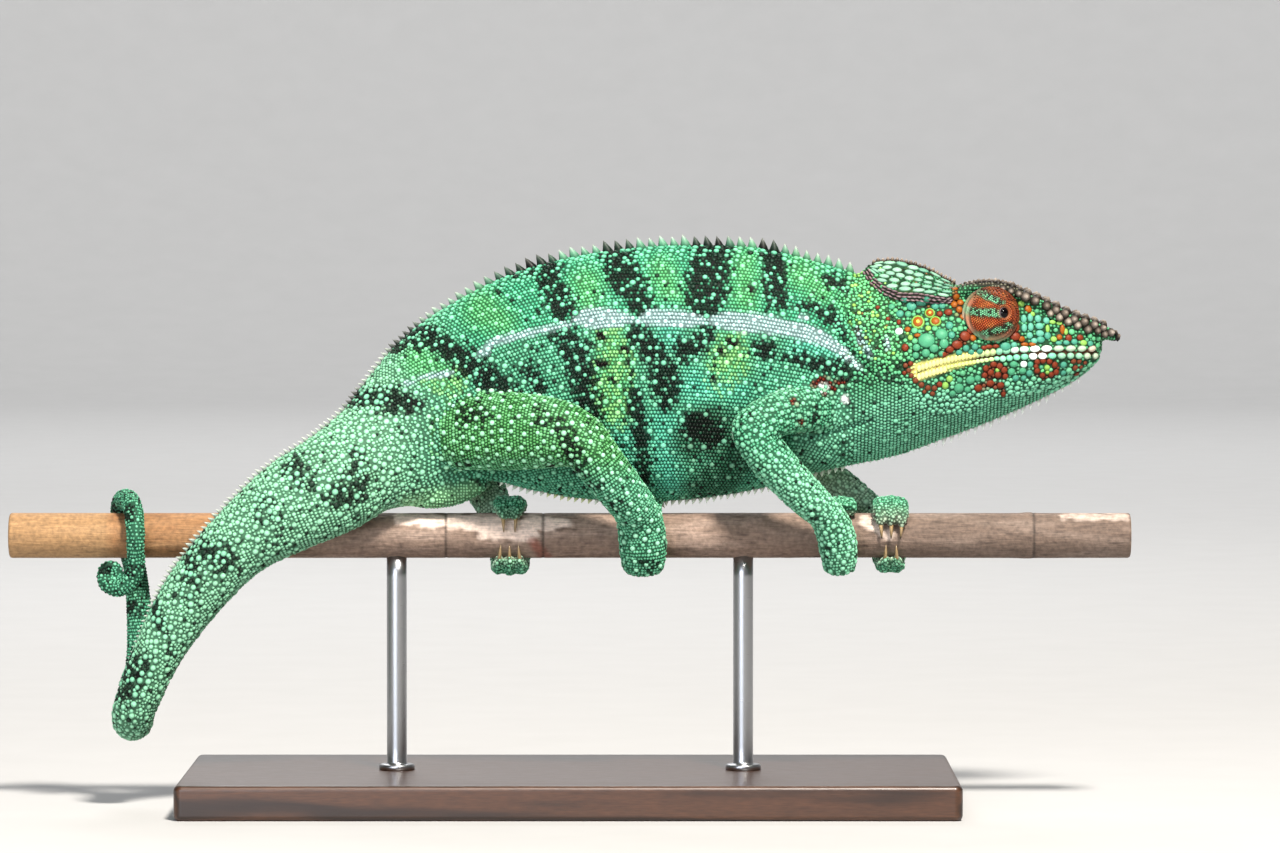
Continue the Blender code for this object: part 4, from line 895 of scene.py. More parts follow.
def animal_colours(points, region, up, distance, large):
    """Colours of scales, or of the skin under them, at points in millimetres from the perch's axis.

    `up` is how far a point faces the back, or outwards on a limb, and `large` is how large its scale is."""
    tint, _ = settings()
    col = {name: np.array(getattr(tint, name)) for name in ChameleonColours.__annotations__}
    flat = points[:, [0, 2]]
    x, z = flat.T
    wobble = wavering(points, 2.4) * 0.9 + wavering(points, 0.9, 5.0) * 0.5
    slow = wavering(points, 9.0, 9.0)
    trunk, tail, tail_end, head, arm, toes, leg = (region == i for i in range(7))
    axis, limb = trunk | tail, arm | leg
    near, big = points[:, 1] < 0, large > 0

    def inside(strokes, soft, ragged=1.0):
        return strokes_cover(flat, strokes, soft, wobble * ragged)

    above = z - np.interp(x, *zip(*STRIPE_COURSE))
    low = np.clip((44 + (x - 100) * 0.12 - z) / 7 + 0.3 * slow, 0, 1)
    lime = inside(LIME_PATCHES, 5.0)
    paler = np.choose(region, (0.24, 0.22, 0.35, 0.15, 0.34, 0.34, 0.60))
    base = layered(
        np.zeros((len(points), 3)) + col["lower"],
        (col["upper"], np.clip(0.5 + above / 5, 0, 1)),
        (col["aqua"], 0.35 * np.clip(slow + 0.1, 0, 1) * (above < 0)),
        (col["tail"], axis * np.clip((-25 - x) / 22, 0, 1) * np.clip(1.2 - above / 25, 0.4, 1)),
        ("#5AA684", tail_end),
        (col["cheek"], (head | trunk) * np.clip((x - 66) / 12, 0, 1)),
        (col["throat"], (head | (trunk & (x > 58))) * low),
        (col["limb"], limb | toes),
        (col["thigh"], leg * np.clip((z - 14) / 8, 0, 1)),
        (col["mint"], (arm & near) * 0.24 * np.clip((26 - z) / 10, 0, 1)),
        # Painted shade on the near upper arm where it meets the body
        (col["shade"], (arm & near) * 0.20 * np.clip((z - 27) / 5, 0, 1)),
        # The limbs' inner sides are pale, partly their own paler skin and partly painted light on the far limbs, which
        # the body shades
        ("#CFE4CA", (limb | toes) * 0.95 * np.clip(-1.6 * up, 0, 1) * (0.75 + 0.25 * slow)),
        (col["lime"], (axis | head) * 0.85 * lime),
        (col["aqua"], axis * 0.8 * inside(AQUA_PATCHES, 5.0)),
        # Painted shade behind the forelegs
        (col["shade"], trunk * 0.9 * inside(SHADE_PATCHES, 4.0)),
        (col["mint"], (limb | toes) * 0.16 * np.clip(slow + 0.4, 0, 1)),
        # Paler along the bulges' lower edges: partly their own skin, partly a painted highlight
        ("#A2D6A0", (axis & (z < 15)) * 0.75 * inside(PALE_BULGE, 3.0)),
        # Large scales and the odd small one are paler.
        (col["mint"], np.where(big, paler * large, 0.08 * hashed(points, 1))),
        ("#B4DC7E", 0.32 * (axis & (lime > 0.4) & (above < -1) & (hashed(points, 3) < 0.5))),
    )

    rings = np.clip(3.2 * (np.sin(distance / 15.0 * 2 * math.pi) - 0.55), 0, 0.8) * np.clip(up + 0.5, 0, 1)
    dark = axis * inside(DARK_BANDS, 2.6)
    for other in (
            tail * 0.62 * inside(TAIL_DARK, 4.0, 1.5),
            (limb & near) * 0.7 * inside(THIGH_DARK, 3.0),
            (tail_end | (tail & (distance > 55))) * rings,
            limb * np.clip(2.0 * (wavering(points, 5.5, 30.0) - 0.30), 0, 0.40),
            axis * 0.6 * np.clip(2.2 * (wavering(points, 4.0, 50.0) - 0.42), 0, 1)):
        dark = np.maximum(dark, other)
    by_crest = trunk * np.clip((z - 62) / 8, 0, 1)
    odds = np.where(large > 0.8, 0.06, np.where(big, 0.42, 0.80)) + 0.14 * by_crest
    chosen = hashed(points, 2) < dark * odds - 0.02
    stray = (hashed(points, 4) < np.where(tail | tail_end, 0.05, np.where(trunk, 0.022, 0.008))) & (large < 0.8)
    neck_dark = (head | (trunk & (x > 70))) & (z > 40) & (hashed(points, 7) < 0.24) & (x < 92) & (large < 0.8)
    neck_lime = (head | (trunk & (x > 72))) & (x < 90) & (z > 46) & (hashed(points, 8) < 0.16)
    base = layered(
        base,
        ("#74C8A6", (axis & big) * 0.55 * dark),
        (col["dark"], np.where(chosen | stray, 0.95, np.where(big, 0.16, 0.50) * dark)),
        ("#140904", (trunk & ~big) * inside(SPECKS, 0.8, 0.3)),
        (col["stripe"], (axis | (head & (x < 84))) * inside(STRIPE, 0.9, 0.35)),
        ("#6A220E", (trunk | limb & near) * inside(RED_MARKS, 0.7, 0.3)),
        ("#F2FBF7", trunk * inside(WHITE_DOTS, 0.6, 0.2)),
        ("#75695C", head * 0.9 * inside(BROW_MARKS, 0.6, 0.3)),
        (col["red"], head * 0.95 * inside(HEAD_RED, 0.5, 0.25)),
        (col["orange"], head * 0.95 * inside(HEAD_ORANGE, 0.5, 0.25)),
        (col["lime"], head * 0.95 * inside(HEAD_LIME, 0.5, 0.25)),
        ("#A89C90", toes * 0.7 * np.clip((distance - 10) / 7, 0, 1)),
        (col["yellow"], head * inside(MOUTH_STRIPE, 0.8, 0)),
        ("#8A3A18", 0.8 * (head & (x < 96) & (z > 42) & ~big & (hashed(points, 6) < 0.06))),
        (col["dark"], 0.85 * (neck_dark & (np.abs(slow) > 0.12))),
        ("#9CCB62", 0.7 * (neck_lime & (slow > -0.1))),
    )
    vary = 1 + 0.16 * (hashed(points, 5) - 0.5) + 0.14 * wavering(points, 1.6, 70.0)
    return np.clip(base * vary[:, None], 0, 1)


# Meshes

def tube(shape, rings):
    """Adds a closed tube through rings of points: a grid bent round, its seam merged and its ends filled."""
    sides, last = len(rings[0]), len(rings) - 1
    made = bmesh.ops.create_grid(shape, x_segments=sides, y_segments=last, size=1)["verts"]
    for vert in made:
        row = round((vert.co.y + 1) / 2 * last)
        vert.co = rings[row][round((vert.co.x + 1) / 2 * sides) % sides]
    bmesh.ops.remove_doubles(shape, verts=made, dist=1e-8)
    made = [vert for vert in made if vert.is_valid]
    rim = list({edge for vert in made for edge in vert.link_edges if edge.is_boundary})
    bmesh.ops.holes_fill(shape, edges=rim)


def mesh_from(name, shape):
    mesh = bpy.data.meshes.new(name)
    shape.to_mesh(mesh)
    shape.free()
    return mesh


def in_scene(name, data):
    obj = bpy.data.objects.new(name, data)
    bpy.context.scene.collection.objects.link(obj)
    return obj


def object_from(name, shape):
    """Ends a bmesh as a smooth object, with its faces turned outwards."""
    bmesh.ops.recalc_face_normals(shape, faces=shape.faces)
    return finished(name, mesh_from(name, shape))


def finished(name, mesh):
    mesh.shade_smooth()
    return in_scene(name, mesh)


def part(obj, slot, material, *nodes):
    """Lets a piece ride on the body, with its finish and the solids that it stands for."""
    obj.data.materials.clear()
    obj.data.materials.append(material)
    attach(obj, "root")
    if nodes:
        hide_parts(*nodes)


def paint(mesh, colours, name="Tint"):
    layer = mesh.color_attributes.new(name, "FLOAT_COLOR", "POINT")
    rgba = np.ones((len(colours), 4), np.float32)
    rgba[:, :3] = colours
    layer.data.foreach_set("color", rgba.ravel())


def vertices_of(mesh):
    found = np.empty(len(mesh.vertices) * 3, np.float32)
    mesh.vertices.foreach_get("co", found)
    return found.reshape(-1, 3).astype(float)


def in_mm(points):
    """Metres above the floor to millimetres from the perch's axis."""
    return points / MM - np.array((0, 0, PERCH_HEIGHT))


def body_nodes():
    kept = ("perch", "stand_", "eye_", "snout_crest")
    return sorted(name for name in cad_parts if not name.startswith(kept))


def mouth_height(x):
    return on_line(LIP, min(max(x, LIP[0][0]), NOSE))[1]


def skin_form():
    """The animal's lofts, inside the solids by the scales' depth, made one closed skin."""
    shape = bmesh.new()
    ribs = rib_sections(RIB_STEPS)
    axis = ribs + tail_sections(ribs[-1], 6)
    tube(shape, rounded(axis, 64, -SKIN_DEPTH, both=True))
    tube(shape, head_rings(-SKIN_DEPTH, 0.7))
    tube(shape, casque_rings(-SKIN_DEPTH))
    tube(shape, snout_rings(-0.7))
    for name, (last, knots) in LIMBS.items():
        for part_knots in knots:
            tube(shape, rounded(limb_sections(part_knots, 5), 32, -SKIN_DEPTH, both=part_knots is not knots[0]))
        for toes in TOES[last]:
            tube(shape, mitten_rings(side_of(name), knots[2][-1][0], toes, -0.3))
    for side in (-1, 1):
        bulge = [(x, side * y, z, thick, wide) for x, y, z, thick, wide in BULGE]
        tube(shape, rounded(limb_sections(bulge, 5), 28, 0.0, both=True))
    return shape


def remeshed(shape, voxel):
    """A bmesh's closed shapes made one even surface."""
    form = in_scene("form", mesh_from("form", shape))
    change = form.modifiers.new("one skin", "REMESH")
    change.mode = "VOXEL"
    change.voxel_size = voxel
    graph = bpy.context.evaluated_depsgraph_get()
    made = bpy.data.meshes.new_from_object(form.evaluated_get(graph))
    bpy.data.objects.remove(form)
    return made


# Where skin runs over from one form to another, and how far round it: x, y, height, radius
SOFT_JOINTS = [
    (-30, -10, 27, 15), (-36, 8, 24, 13), (62, -10, 33, 11), (62, 10, 30, 10), (3.6, -21, 25, 6), (46.8, -19, 28, 6),
    (-24, 24, 17, 6), (57, 18, 24, 6), (17, -16, 7.5, 7), (-20.5, 16.5, 8, 6), (65, -15, 7, 6), (77, 15, 8, 6),
    (72.8, 0, 45, 16), (72.8, 0, 24, 14), (72.8, 0, 64, 12), (98, 0, 62, 9),
]


def build_skin(voxel):
    shape = bmesh.new()
    shape.from_mesh(remeshed(skin_form(), voxel))
    places = in_mm(np.array([vert.co[:] for vert in shape.verts]))

    def smooth(verts):
        bmesh.ops.smooth_vert(shape, verts=verts, factor=0.5, use_axis_x=True, use_axis_y=True, use_axis_z=True)

    smooth(shape.verts)
    for x, y, z, radius in SOFT_JOINTS:
        away = np.linalg.norm(places - (x, y, z), axis=1)
        for share in (1.0, 0.8, 0.6):
            near = [vert for vert, far in zip(shape.verts, away) if far < radius * share]
            for _ in range(4):
                smooth(near)
    shape.normal_update()
    carve_head(shape)
    flat = in_mm(np.array([vert.co[:] for vert in shape.verts]))[:, [0, 2]]
    away = from_strokes(flat, CREASES)
    press = 0.30 * np.exp(-((away - 1.9) / 1.1) ** 2) - 0.75 * np.exp(-(np.maximum(away, 0) / 0.65) ** 2)
    shape.normal_update()
    for vert, depth, far in zip(shape.verts, press, away):
        if far < 5 and abs(vert.normal.y) > 0.3:
            vert.co += vert.normal * depth * MM
    return object_from("skin", shape)


def carve_head(shape):
    """Presses in the mouth's line and the nostrils, and raises a fold below and behind each eye."""
    eye_x, _, eye_z = TURRET_CENTRE
    for vert in shape.verts:
        x, y, z = vert.co.x / MM, vert.co.y / MM, vert.co.z / MM - PERCH_HEIGHT
        if x < 74:
            continue
        move = 0.0
        if JAW_CORNER < x:
            gap = abs(z - mouth_height(x))
            if gap < 0.9:
                move -= 0.55 * (1 - gap / 0.9) * max(0.15, ramp(x, 94, 9))
        pit = math.hypot((x - NOSTRIL[0]) / (NOSTRIL[2] + 0.3), (z - NOSTRIL[1]) / (NOSTRIL[3] + 0.3))
        if pit < 1 and abs(y) > 2:
            move -= 0.9 * (1 - pit)
        ring = math.hypot(x - eye_x, z - eye_z)
        if abs(y) > 5 and 7.2 < ring < 10.5:
            move += 0.35 * math.sin((ring - 7.2) / 3.3 * math.pi)
        vert.co += vert.normal * move * MM


class Surface:
    """The finished skin, for finding where a scale stands on it."""

    def __init__(self, obj):
        mesh = obj.data
        self.points = vertices_of(mesh)
        self.faces = [tuple(face.vertices) for face in mesh.polygons]
        self.tree = BVHTree.FromPolygons([Vector(p) for p in self.points], self.faces)
        normals = np.empty(len(mesh.vertices) * 3, np.float32)
        mesh.vertices.foreach_get("normal", normals)
        self.normals = normals.reshape(-1, 3).astype(float)

    def smooth_normal(self, index):
        normal = self.normals[list(self.faces[index])].mean(axis=0)
        return normal / max(1e-9, np.linalg.norm(normal))

    def nearest(self, point):
        """(position, normal, distance) in metres of the skin nearest to a point in metres."""
        where, _, index, distance = self.tree.find_nearest(Vector(point))
        return np.array(where), self.smooth_normal(index), distance

    def from_side(self, x, z, side):
        """Where a line across the animal at x and height z first meets the skin on that side."""
        return self.along_line(place(x, side * 60, z), Vector((0, -side, 0)))

    def along_line(self, start, way):
        where, _, index, _ = self.tree.ray_cast(start, way)
        return None if where is None else (np.array(where), self.smooth_normal(index))


class Crowd:
    """Which scales stand near a point, in millimetres."""

    cell = 2.2

    def __init__(self):
        self.cells = {}

    def add(self, point, radius):
        key = tuple(int(c // self.cell) for c in point)
        self.cells.setdefault(key, []).append((*point, radius))

    def has_room(self, point, radius, squeeze=1.0):
        x, y, z = point
        i, j, k = (int(c // self.cell) for c in point)
        for a in (i - 1, i, i + 1):
            for b in (j - 1, j, j + 1):
                for c in (k - 1, k, k + 1):
                    for px, py, pz, r in self.cells.get((a, b, c), ()):
                        reach = (r + radius) * squeeze
                        if (px - x) ** 2 + (py - y) ** 2 + (pz - z) ** 2 < reach * reach:
                            return False
        return True


# Scales. A template is a closed-topped bump in a unit circle; many are placed as one joined mesh.

def template(sides, levels, top=1.0):
    """Rings from a scale's foot up, each (radius, height), closed by a crown: (points, triangles)."""
    shape = bmesh.new()
    bmesh.ops.create_circle(shape, cap_ends=False, radius=levels[0][0], segments=sides)
    for vert in shape.verts:
        vert.co.z = levels[0][1]
    edges = shape.edges[:]
    size = levels[0][0]
    for radius, height in levels[1:]:
        made = bmesh.ops.extrude_edge_only(shape, edges=edges)["geom"]
        edges = [item for item in made if isinstance(item, bmesh.types.BMEdge)]
        for vert in (item for item in made if isinstance(item, bmesh.types.BMVert)):
            vert.co = (vert.co.x * radius / size, vert.co.y * radius / size, height)
        size = radius
    lid = bmesh.ops.contextual_create(shape, geom=edges)["faces"]
    crown = bmesh.ops.poke(shape, faces=lid)["verts"][0]
    crown.co.z = top
    bmesh.ops.triangulate(shape, faces=shape.faces)
    bmesh.ops.recalc_face_normals(shape, faces=shape.faces)
    if sum(face.normal.z for face in shape.faces) < 0:
        bmesh.ops.reverse_faces(shape, faces=shape.faces)
    shape.verts.index_update()
    points = np.array([vert.co[:] for vert in shape.verts])
    triangles = np.array([[vert.index for vert in face.verts] for face in shape.faces])
    shape.free()
    return points, triangles


@lru_cache
def templates():
    return {
        "granule": template(7, [(1.04, -0.5), (0.88, 0.42)]),
        "tubercle": template(10, [(1.04, -0.4), (0.93, 0.32), (0.62, 0.82)]),
        "plate": template(10, [(1.04, -0.5), (0.96, 0.35), (0.80, 0.86)]),
        "cone": template(8, [(1.0, -0.3), (0.90, 0.10), (0.62, 0.42), (0.30, 0.74)]),
        "bead": template(12, [(1.04, -0.4), (0.96, 0.15), (0.70, 0.52), (0.34, 0.86)], 1.12),
    }


class Coat:
    """Scales gathered for one piece: each has a root, ways up and forward, half sizes, colours and a map place."""

    def __init__(self):
        self.rows = {}

    def add(self, kind, root, up, forward, sizes, tint, place_on_map=(0, 0), tip=None, lean=0.0):
        tip = tint if tip is None else tip
        self.rows.setdefault(kind, []).append(
            (*root, *up, *forward, *sizes, *tint, *tip, *place_on_map, lean))

    def build(self, name):
        points, triangles, colours, places = [], [], [], []
        start = 0
        for kind, rows in sorted(self.rows.items()):
            shape, faces = templates()[kind]
            rows = np.array(rows)
            root, up, forward = rows[:, 0:3], rows[:, 3:6], rows[:, 6:9]
            forward = forward - up * (forward * up).sum(axis=1, keepdims=True)
            forward /= np.maximum(1e-9, np.linalg.norm(forward, axis=1, keepdims=True))
            across = np.cross(up, forward)
            half_long, half_wide, height = rows[:, 9:10], rows[:, 10:11], rows[:, 11:12]
            lean = rows[:, 20:21]
            x = shape[None, :, 0] * half_long + lean * np.clip(shape[None, :, 2], 0, None) ** 1.5 * height
            y, z = shape[None, :, 1] * half_wide, shape[None, :, 2] * height
            made = (root[:, None] + (forward[:, None] * x[..., None] + across[:, None] * y[..., None]
                                     + up[:, None] * z[..., None]) * MM)
            # Painted shade and highlight: each scale's colour is darkened and made more saturated towards its foot as
            # painted shade, and lightened on its crown, partly its own paler crown and partly a painted highlight
            rise = np.clip(shape[:, 2], 0, 1)[None, :, None]
            tint = rows[:, None, 12:15] * (1 - rise**1.4) + rows[:, None, 15:18] * rise**1.4
            whiteness = tint.min(axis=2, keepdims=True)
            tone = 0.08 + 0.45 * whiteness * (1 - rise) + 1.02 * rise
            tint = np.maximum(tint, 1e-4) ** (1 + 0.35 * (1 - rise))
            count = len(rows)
            points.append(made.reshape(-1, 3))
            colours.append((tint * tone).reshape(-1, 3))
            offsets = start + np.arange(count)[:, None, None] * len(shape)
            triangles.append((faces[None] + offsets).reshape(-1, 3))
            spots = rows[:, None, 18:20] + shape[None, :, :2] * PATCH / 2
            places.append(spots[:, faces.ravel()].reshape(-1, 2))
            start += count * len(shape)
        points, triangles = np.concatenate(points), np.concatenate(triangles)
        mesh = bpy.data.meshes.new(name)
        mesh.vertices.add(len(points))
        mesh.vertices.foreach_set("co", points.astype(np.float32).ravel())
        mesh.loops.add(triangles.size)
        mesh.loops.foreach_set("vertex_index", triangles.astype(np.int32).ravel())
        mesh.polygons.add(len(triangles))
        mesh.polygons.foreach_set("loop_start", np.arange(0, triangles.size, 3, dtype=np.int32))
        mesh.update(calc_edges=True)
        layer = mesh.uv_layers.new(name="OFBake")
        layer.data.foreach_set("uv", np.concatenate(places).astype(np.float32).ravel())
        paint(mesh, np.concatenate(colours))
        mesh.validate()
        return finished(name, mesh)


@lru_cache
def skin_surface():
    return Surface(bpy.data.objects["skin"])


@lru_cache
def map_tree():
    """The rows' sites as a tree, to find which region of the body a point belongs to and its map place."""
    sites = rows_of_scales()
    tree = KDTree(len(sites))
    for i, site in enumerate(sites):
        tree.insert(Vector(site[POSITION]) * MM, i)
    tree.balance()
    return tree


def nearest_rows(points):
    """The nearest row site of each point in metres."""
    tree = map_tree()
    return rows_of_scales()[[tree.find(Vector(p))[1] for p in points]]


def colour_skin(skin):
    """Paints the skin between the scales: the same markings, much darker, partly the skin's own darker colour and
    partly painted shade in the gaps between the scales.
    """
    points = vertices_of(skin.data)
    near, places = nearest_rows(points), in_mm(points)
    region = near[:, REGION].astype(int)
    tint = animal_colours(places, region, faced_up(near), near[:, DISTANCE], np.zeros(len(points)))
    heights = np.array([mouth_height(x) for x in places[:, 0]])
    mouth = (places[:, 0] > 104) & (np.abs(places[:, 2] - heights) < 0.5)
    in_stripe = strokes_cover(places[:, [0, 2]], MOUTH_STRIPE, 0.8, 0)
    # Painted shade between the scales: the skin is darkened, most on the head, and kept pale under the mouth stripe
    shade = np.where(in_stripe > 0.5, 0.8, np.where(region == HEAD, 0.12, 0.20) + 0.4 * tint.min(axis=1))
    tint = np.where(mouth[:, None], rgb("#4A3020"), tint**1.3 * shade[:, None])
    paint(skin.data, tint)


# Head

PLATE_TONES = {
    "green": "#47906C", "teal": "#458D76", "aqua": "#5AA18A", "lime": "#7FAE54", "white": "#D5F2E2", "brown": "#6E3A24",
}


def head_plates(add, crowd, surface):
    """The large plates of the cheeks, lips and casque, on both sides. `add` places one."""
    tint, _ = settings()
    named = {"red": np.array(tint.red), "orange": np.array(tint.orange)}
    named |= {name: rgb(text) for name, text in PLATE_TONES.items()}
    plates = [(*plate, name) for name, group in CHEEK_PLATES.items() for plate in group]
    for side in (-1, 1):
        for x, z, half_long, half_high, name in plates:
            hit = surface.from_side(x, z, side)
            if hit is None:
                continue
            root, up = hit
            big = min(half_long, half_high)
            stepped = name == "ringed" or (name == "orange" and big > 1)
            sizes = np.array((half_long, half_high)) * (1.35 if big > 1 and stepped else 1.2)
            if stepped:
                add("plate", root, up, (1, 0, 0), (*sizes, 0.34), named["lime"])
                add("plate", root + up * 0.14 * MM, up, (1, 0, 0), (*sizes * 0.76, 0.34), named["orange"])
                if name == "ringed":
                    add("tubercle", root + up * 0.40 * MM, up, (1, 0, 0), (*sizes * 0.28, 0.22), rgb("#E3D35A"))
            else:
                add("plate", root, up, (1, 0, 0), (*sizes, 0.30 + 0.14 * big), named[name])
            crowd.add(in_mm(root), sizes.mean() * 0.92)
        lips(add, crowd, surface, side)
        casque_plates(add, crowd, surface, side)


def lips(add, crowd, surface, side):
    """A row of lip scales above the mouth's line and one below it."""
    tint, _ = settings()
    yellow, white = np.array(tint.yellow), rgb("#F3FAF2")
    pink, mint = rgb("#C2B5A2"), rgb("#8ACBA8")
    teal = rgb("#57B492")
    for upper in (True, False):
        x, index = 89.6, 0
        while x < 136.2:
            grown = ramp(x, 104, 16)
            breadth = 0.95 + (2.2 if upper else 1.55) * grown * (1 if x < 128 else 0.8)
            tall = 2.0 - 0.35 * grown if upper or x <= 97 else 1.2 if x <= 110 else 1.7
            middle = x + breadth / 2
            z = mouth_height(middle) + (1 if upper else -1) * (tall / 2 + 0.12)
            hit = surface.from_side(middle, z, side)
            x += breadth
            index += 1
            if hit is None:
                continue
            root, up = hit
            if middle < 110:
                tone = yellow * (0.92 + 0.08 * (index % 2))
                if middle > 97 and not upper:
                    tone = yellow * 0.55 + rgb("#A9CF62") * 0.45
                if middle > 105:
                    tone = tone * 0.6 + mint * 0.4
            elif middle < 113:
                tone = mint
            elif middle < 125:
                tone = white if 117.5 < middle < 124.5 else mint * 0.5 + (white if upper else teal) * 0.5
            elif middle < 133:
                tone = mint * 0.5 + pink * 0.5 if upper else teal * 0.7 + pink * 0.3
            else:
                tone = pink if upper else teal * 0.4 + pink * 0.6
            wide = 0.48 + 0.16 * (1 - grown)
            add("plate", root, up, (1, 0, 0), (breadth * wide, tall * 0.52, 0.28 + 0.26 * grown), tone)
            for part_z in (-0.3, 0.3):
                crowd.add(in_mm(root) + (0, 0, part_z * tall), max(breadth, tall) * 0.40)


def on_path(path, share):
    """A point at a share of the way along a path of knots."""
    knots = np.array(path, float)
    ways = lengths_along(knots)
    return at_length(share * ways[-1], ways, knots)


def casque_plates(add, crowd, surface, side):
    """Long pale plates on the casque's face, dark ridges below them and beads along its top."""
    tint, _ = settings()
    grey = np.array(tint.crest)
    pale, pale_b = rgb("#5E937C"), rgb("#8CB69C")
    dice = random.Random(SEED + (side > 0))
    rows = 5
    for row in range(rows):
        share_up = (row + 0.62) / (rows + 0.15)
        narrow = 1 - abs(share_up - 0.5) * 0.5
        count = round(8 * narrow) + 1
        for i in range(count):
            t = (i + 0.5 + 0.25 * (row % 2) + 0.16 * (dice.random() - 0.5)) / (count + 0.3)
            low, high = on_path(CASQUE_LOWER, t), on_path(CASQUE_UPPER, t)
            here = low + (high - low) * (share_up + 0.05 * (dice.random() - 0.5))
            ahead_t = min(1.0, t + 0.03)
            ahead = on_path(CASQUE_LOWER, ahead_t)
            ahead = ahead + (on_path(CASQUE_UPPER, ahead_t) - ahead) * share_up
            hit = surface.from_side(*here, side)
            if hit is None:
                continue
            root, up = hit
            gap = np.linalg.norm(high - low) / rows
            way = (ahead[0] - here[0], 0, ahead[1] - here[1])
            sizes = (21.5 / count * 0.5 * (0.98 + 0.16 * dice.random()),
                     max(0.36, gap * (0.52 + 0.08 * dice.random())), 0.36)
            mix = dice.random()
            add("plate", root, up, way, sizes, pale * mix + pale_b * (1 - mix))
            for k in (-0.6, 0, 0.6):
                crowd.add(in_mm(root) + np.array((k * sizes[0], 0, 0)), sizes[1] * 0.95)
    purple = rgb("#54464A")
    for drop, count in ((0.30, 17), (1.05, 18), (1.80, 18)):
        for i in range(count):
            t = (i + 0.5 + 0.3 * (drop > 1 and drop < 1.5)) / (count + 0.3)
            here, ahead = on_path(CASQUE_LOWER, t), on_path(CASQUE_LOWER, min(1, t + 0.04))
            way = (ahead - here) / max(1e-6, np.linalg.norm(ahead - here))
            x, z = here + np.array((way[1], -way[0])) * (drop if t < 0.85 else drop * 0.7)
            hit = surface.from_side(x, z, side)
            if hit is None:
                continue
            root, up = hit
            tone = purple * (0.7 + 0.5 * dice.random()) + grey * 0.2 * dice.random()
            # The bead's tip colour is much paler than its foot: a painted highlight on each ridge bead
            add("bead", root, up, (way[0], 0, way[1]), (1.05, 0.38, 0.52), tone, tip=tone * 2.4)
            crowd.add(in_mm(root), 0.46)
    for i in range(19):
        t = (i + 0.3) / 18.5
        x, z = on_path(CASQUE_UPPER, min(1.0, t))
        root, up, _ = surface.nearest(place(x, side * (0.2 if i % 2 else 0.7), z + 0.6))
        tone = grey * (0.8 + 0.3 * dice.random())
        size = 0.62 + 0.16 * dice.random()
        # Each top bead is darkened at its foot as painted shade and brightened on its crown as a painted highlight
        add("bead", root, up, (1, 0, -0.3), (size, size * 0.8, size * 1.5), tone * 0.5, tip=tone * 1.7)
        crowd.add(in_mm(root), 0.55)


def crest_beads(surface):
    """The snout's and brows' tubercles: root, up, half breadth, and which row each is in."""
    made = []
    for side in (-1, 1):
        for row, (across, drop, first, last) in enumerate((
                (0.80, -0.2, 98.5, 140.2), (1.08, 1.3, 112.0, 141.0), (1.02, 2.9, 124.5, 140.5),
                (0.46, 0.3, 103.0, 139.0))):
            x = first
            while x < last:
                brow_y, brow_z, trough_z = on_line(SNOUT_CREST, min(max(x, 101.5), 142.0))
                grown = ramp(x, 101, 17)
                radius = (0.55 + 0.72 * grown) * (1.0 if x < 136 else 0.86) * (1 + 0.10 * math.sin(5 * x + 2 * row))
                if row == 3:
                    radius *= 0.85
                ease = ramp(x, 100, 3)
                z = brow_z - drop if row != 3 else (trough_z + (brow_z - trough_z) * 0.4)
                stray = Vector((math.sin(7 * x), 0, math.cos(9 * x + row))) * 0.18 * grown * MM
                aim = place(x, side * brow_y * across, z if row else z - 1.2 * (1 - ease)) + stray
                root, up, _ = surface.nearest(aim)
                made.append((root, up, radius, row))
                x += radius * 1.86
    for y in (-1.3, 1.3, 0):
        for z in (51.9, 53.4):
            root, up, _ = surface.nearest(place(143.0, y, z))
            made.append((root, up, 1.0, 0))
    return made


# Coat of the body

def piece_of(loft, root_mm):
    """The coat piece that a scale of a loft belongs to."""
    if loft.region in ("arm", "leg", "toes"):
        return "scales_" + "_".join(limb_of(loft.name).split("_")[:2])
    side = "right" if root_mm[1] < 0 else "left"
    if loft.region == "trunk":
        third = "front" if root_mm[0] > 44 else "middle" if root_mm[0] > 12 else "rear"
        return f"scales_trunk_{side}_{third}"
    if loft.region == "head":
        return f"scales_head_{side}"
    return f"scales_{loft.region}" + (f"_{side}" if loft.region == "tail" else "")


# Where the head's scales are irregular, and their half sizes there: x and height of the zone's middle, half
# length, half height, half size
HEAD_ZONES = [
    (119, 52, 8, 5, 0.92), (97, 53, 11, 8.5, 0.72), (110, 49.5, 9, 3.2, 0.66), (113, 41.5, 20, 4.6, 0.66),
    (131, 48, 7, 5.5, 0.7), (92, 60, 9, 4, 0.62), (97, 36.5, 9, 4.5, 0.56), (77.5, 54, 9, 14, 0.42),
    (88, 44, 5, 6, 0.46),
]


def head_size(x, z):
    """The half size that irregular scales have at a place on the head's side, or 0."""
    sizes = [size for cx, cz, long, high, size in HEAD_ZONES
             if ((x - cx) / long) ** 2 + ((z - cz) / high) ** 2 < 1]
    return max(sizes, default=0.0)


class Layer:
    """The scales chosen so far: which row each belongs to, where it stands and how large it is."""

    def __init__(self):
        self.crowd, self.chosen = Crowd(), []

    def take(self, i, root, up, where, size, large, squeeze, kind):
        """Stands a scale there if there is room for it."""
        if not self.crowd.has_room(where, size, squeeze):
            return False
        self.crowd.add(where, size * 0.95)
        self.chosen.append((i, root, up, size, large, kind))
        return True


